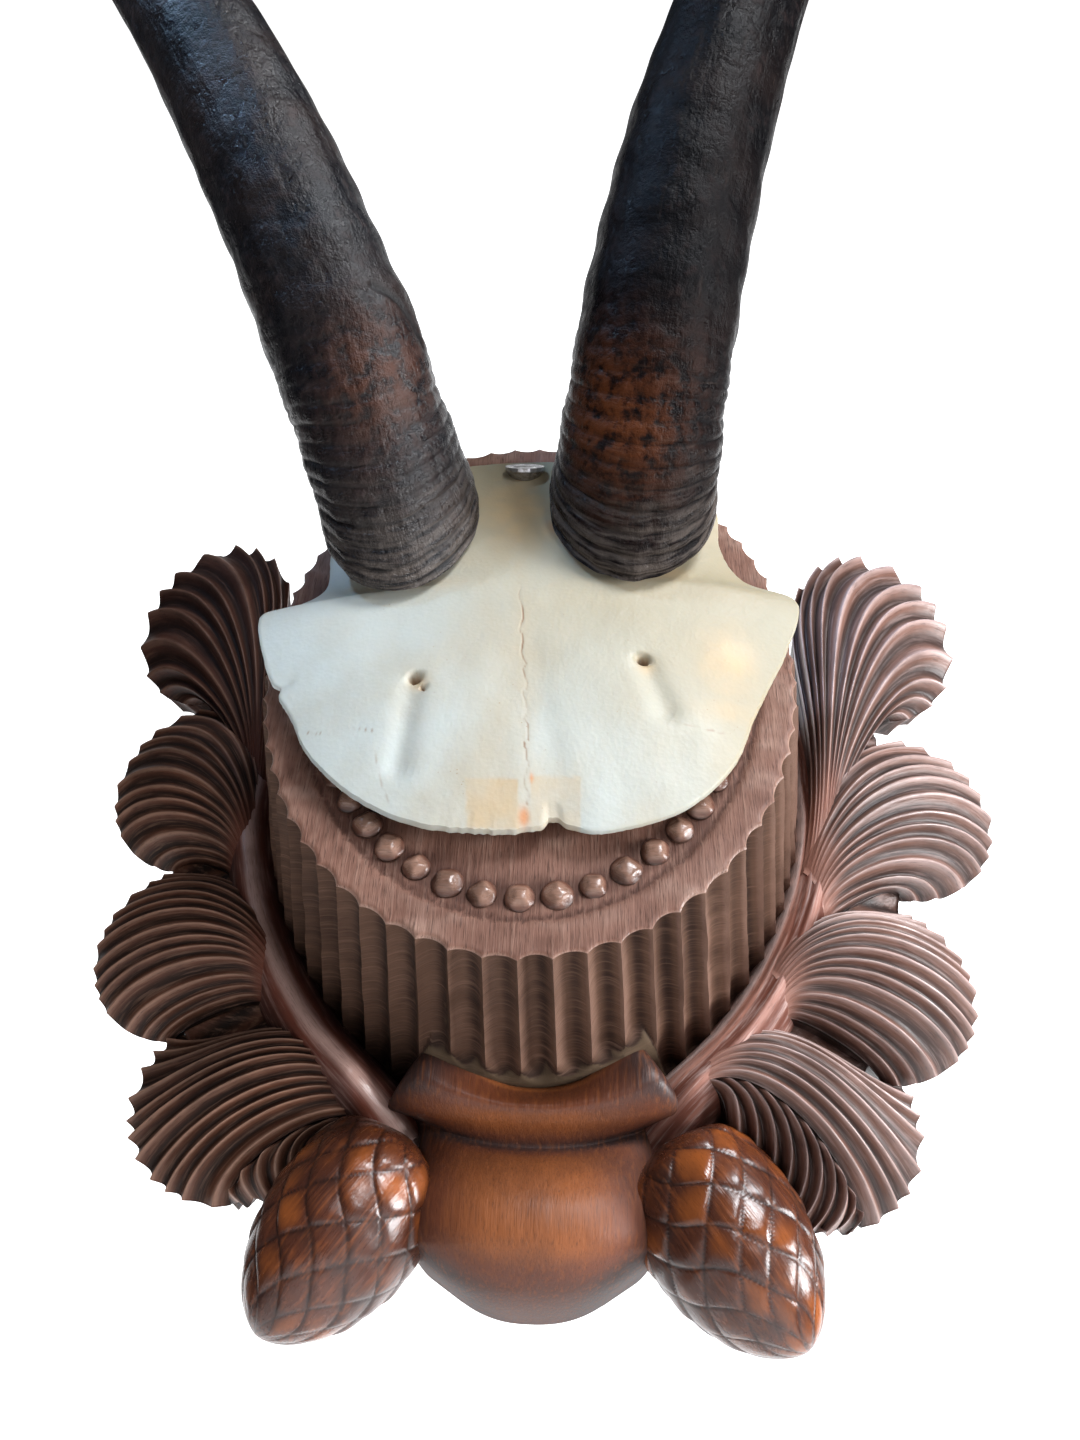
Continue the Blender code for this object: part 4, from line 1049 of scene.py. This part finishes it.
def plate_stains(points):
    x, z = points[:, 0], points[:, 2]
    stain = 0.72 * inside_patch(x + 0.1 * (z + 0.036), z, (-0.0048, -0.0366), (0.0046, 0.0046))
    stain = np.maximum(stain, 0.55 * inside_patch(x, z, (0.0053, -0.0362), (0.0044, 0.0048)))
    stain = np.maximum(stain, 0.28 * near_line(x, z, SUTURE, 0.003))
    for place, size, strength in STAINS:
        stain = np.maximum(stain, strength * inside_spot(x, z, place, size))
    stain = stain * (0.8 + 0.45 * layered_noise(points, 300.0, 61))
    rust = 0.0
    for place, size, strength in RUST:
        rust = np.maximum(rust, strength * inside_spot(x, z, place, size))
    return np.clip(stain, 0, 1), rust


def make_skull_plate(material):
    """The bone plate: a low dome with sunken suture lines, two nerve holes and a nicked lower edge."""
    outline, worn = plate_edge()
    middle = np.array(PLATE_MIDDLE)
    rings = [0.978, 1.0, 0.9985, 0.994, *np.linspace(0.985, 0.02, PLATE_RINGS)]
    fronts = [-1.0, 0.6, 0.9, 1.0, *np.ones(PLATE_RINGS)]
    rows = []
    for ring, front in zip(rings, fronts):
        x, z = (middle + (outline - middle) * ring - worn * smooth_step((ring - 0.9) / 0.08)).T
        out = PLATE_OUT + (PLATE_EDGE * 0.9 + PLATE_DOME * (1 - ring**2.4)) * max(front, 0.0)
        rows.append(places(x, -out, z))
    points = np.concatenate(rows)
    relief, crack = plate_marks(points)
    points[:, 1] -= np.where(np.repeat(fronts, PLATE_POINTS) > 0.9, relief, 0.0)
    stain, rust = plate_stains(points)
    values = {"stain": [stain], "crack": [np.clip(crack, 0, 1)], "rust": [rust]}
    faces = tube_faces(len(rings), PLATE_POINTS)
    return mesh_piece("skull_bone", [points], faces, material, values, "skull_plate", sharp=40)


def horn_course(horn, distances):
    """Where the horn's middle line runs at these distances from its foot, and which way it heads."""
    fine = np.linspace(0, HORN_LENGTH, 481)
    step = fine[1] - fine[0]
    hook = smooth_step((fine - HOOK_START) / (HOOK_END - HOOK_START))
    rise = np.radians(horn.rise_angle + horn.rise_rate * fine + HOOK_TURN * hook)
    fade = 1 - smooth_step((fine - LEAN_FADES[0]) / (LEAN_FADES[1] - LEAN_FADES[0]))
    side = np.radians((horn.side_angle + horn.side_rate * np.minimum(fine, LEAN_FADES[0])) * fade)
    ways = places(np.sin(side), -np.cos(rise) * np.cos(side), np.sin(rise) * np.cos(side))
    foot = np.array([horn.foot[0], -HORN_FOOT_OUT, horn.foot[1]])
    middle = foot + np.concatenate([[[0, 0, 0]], np.cumsum(ways[:-1] * step, axis=0)])
    found = np.stack([np.interp(distances, fine, middle[:, i]) for i in range(3)], axis=1)
    turned = np.stack([np.interp(distances, fine, ways[:, i]) for i in range(3)], axis=1)
    return found, unit(turned)


def horn_radius(horn, distances):
    radius = horn.radius * (1 - HORN_TAPER * (distances / HORN_LENGTH) ** 1.3)
    past = np.clip((distances - HORN_TIP_TAPER) / (HORN_LENGTH - HORN_TIP_TAPER), 0, 1)
    radius = radius * np.maximum(1 - past**2.2, 0.0) ** 0.8
    return np.maximum(radius, HORN_TIP_RADIUS)


def make_horn(horn):
    """One horn: wavy growth rings near the foot, long fine furrows above them, and a hooked tip."""
    distances = np.concatenate([np.linspace(0, 0.075, 300), np.linspace(0.0755, HORN_LENGTH, 120)])
    middles, ways = horn_course(horn, distances)
    turns = np.linspace(0, 2 * math.pi, HORN_SIDES, endpoint=False)
    around = places(np.cos(turns), np.sin(turns), 0)
    rows = []
    values = {"relief": [], "flow": [], "warm": [], "fray": [], "ringed": []}
    for distance, place, way, size in zip(distances, middles, ways, horn_radius(horn, distances)):
        side = unit(np.array([1.0, 0.0, 0.0]) - way * way[0])
        up = np.cross(side, way)

        def lumps(width, rate):
            return around * width + np.array([0, 0, distance * rate])

        wander = 0.0016 * noise(lumps(1.1, 25.0), 1.0, horn.seed)
        ringed = 1 - smooth_step((distance - 0.012) / 0.03)
        ring = np.abs(np.sin(math.pi * (distance + wander) / GROWTH_RING)) ** 0.6
        coarse = np.sin(2 * math.pi * (distance + 1.5 * wander) / 0.0115)
        bumps = layered_noise(lumps(1.5, 45.0), 1.0, horn.seed + 2)
        swell = horn.swell * hill(distance - 0.032, 0.007) * hill(turns - 0.45, 0.5)
        furrow = noise(places(turns * 7.0, distance * 14.0, 0), 1.0, horn.seed + 4)
        slit = near_line(turns, distance * SLIT_PER_METRE, HORN_SLIT, 0.055) if horn.swell else 0.0
        height = size / 0.015 * (
            (0.0005 + 0.00014 * np.sin(distance * 900.0)) * (ring - 0.7) * ringed
            + 0.00018 * coarse * (1 - smooth_step((distance - 0.05) / 0.07))
            + 0.00075 * bumps * (1 - 0.4 * distance / HORN_LENGTH)
            + 0.00014 * furrow
            + swell
        )
        full = np.minimum(size + height - 0.0007 * slit, size * 1.06)
        offset = full[:, None] * (np.cos(turns)[:, None] * side + np.sin(turns)[:, None] * up)
        slide = -offset[:, 1] / way[1] * max(1 - distance / FOOT_SLIDE_FADES, 0.0)
        rows.append(place + offset + slide[:, None] * np.array([0.0, way[1], way[2]]))
        band = hill(distance - horn.patch[0], 0.008) * hill(turns - horn.patch[1], 0.75) * horn.patch[2]
        values["relief"].append(np.clip(0.5 + (ring - 0.5) * ringed + 0.35 * bumps - slit, 0, 1))
        values["flow"].append(places(distance, turns * 0.015, horn.seed / 10.0))
        values["warm"].append(band * (0.7 + 0.5 * noise(lumps(1.3, 60.0), 1.0, horn.seed + 6)))
        values["fray"].append(np.full(HORN_SIDES, hill(distance, 0.009)))
        values["ringed"].append(np.full(HORN_SIDES, ringed))
    name = f"{horn.name}_sheath"
    material = horn_material(name, horn.dark, horn.brown, horn.shine)
    faces = tube_faces(len(rows), HORN_SIDES)
    return mesh_piece(name, rows, faces, material, values, horn.name, sharp=60)


# Floor, light and camera


def make_stage():
    """Pale paper behind the plaque and on the floor, just wide enough for the picture."""
    half = PAPER_HALF_WIDTH
    for name, place, turn, length, glow in PAPERS:
        n = Nodes(name)
        colour = n.blend(n.noise(n.place(), 3.0, 2.0), (0.93, 0.93, 0.93), (0.95, 0.95, 0.95))
        mesh = bpy.data.meshes.new(name)
        corners = [(-half, -length, 0), (half, -length, 0), (half, length, 0), (-half, length, 0)]
        mesh.from_pydata(corners, [], [(0, 1, 2, 3)])
        mesh.materials.append(n.finish(colour, 0.9, Emission_Color=(1, 1, 1, 1), Emission_Strength=glow))
        sheet = bpy.data.objects.new(name, mesh)
        sheet.location = place
        sheet.rotation_euler = turn
        bpy.context.scene.collection.objects.link(sheet)


def make_light(light):
    made = bpy.data.lights.new(light.name, "AREA" if light.cone is None else "SPOT")
    if light.cone is None:
        made.shape = "DISK"
        made.size = light.size
    else:
        made.shadow_soft_size = light.size / 2
        made.spot_size = math.radians(light.cone)
        made.spot_blend = 0.5
    made.energy = light.power
    made.color = light.colour
    lamp = bpy.data.objects.new(light.name, made)
    lamp.location = light.place
    lamp.rotation_euler = (Vector(light.aim) - Vector(light.place)).to_track_quat("-Z", "Y").to_euler()
    bpy.context.scene.collection.objects.link(lamp)


def make_world():
    world = bpy.data.worlds.new("soft_room")
    world.use_nodes = True
    background = world.node_tree.nodes["Background"]
    background.inputs["Color"].default_value = (0.93, 0.95, 1.0, 1.0)
    background.inputs["Strength"].default_value = 0.06
    bpy.context.scene.world = world


def make_camera():
    data = bpy.data.cameras.new("photo_camera")
    data.sensor_fit = "VERTICAL"
    data.sensor_height = 24.0
    data.lens = 18.0
    data.clip_start = 0.005
    camera = bpy.data.objects.new("photo_camera", data)
    right, up, back = Vector(CAMERA_RIGHT), Vector(CAMERA_UP), -Vector(CAMERA_AHEAD)
    turn = Matrix((right, up, back)).transposed()
    camera.matrix_world = Matrix.Translation(CAMERA_PLACE) @ turn.to_4x4()
    bpy.context.scene.collection.objects.link(camera)
    bpy.context.scene.camera = camera


def main():
    make_camera()
    make_world()
    make_stage()
    bpy.context.scene.view_settings.view_transform = "Standard"
    for light in LIGHTS:
        make_light(light)

    woods = {name: carved_wood(name, *looks) for name, looks in WOODS.items()}
    make_drum_wall(woods["drum_wood"])
    make_drum_face(woods["face_wood"])
    make_beads(woods["bead_wood"])
    for side in SIDES:
        make_stem(side, woods[f"stem_wood_{side.name}"])
    for side in SIDES:
        make_leaf_bed(side, woods[f"leaf_wood_{side.name}"])
    for side in SIDES:
        for number, lobe in enumerate(side.lobes, 1):
            # The top left lobe takes the darkest copy of the leaf wood: painted shade
            darker = side.name == "left" and number == 1
            make_leaf(side, number, lobe, woods["leaf_wood_top_left" if darker else f"leaf_wood_{side.name}"])
    for side in SIDES:
        make_pleats(side, woods[f"leaf_wood_{side.name}"])
    make_boss(woods["boss_wood"])
    for cone in CONES:
        make_cone(cone, woods["cone_wood"])

    make_skull_plate(bone_material())
    for horn in HORNS:
        make_horn(horn)
    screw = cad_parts["screw"]
    steel = steel_material()
    for slot in screw.material_slots:
        slot.material = steel


main()
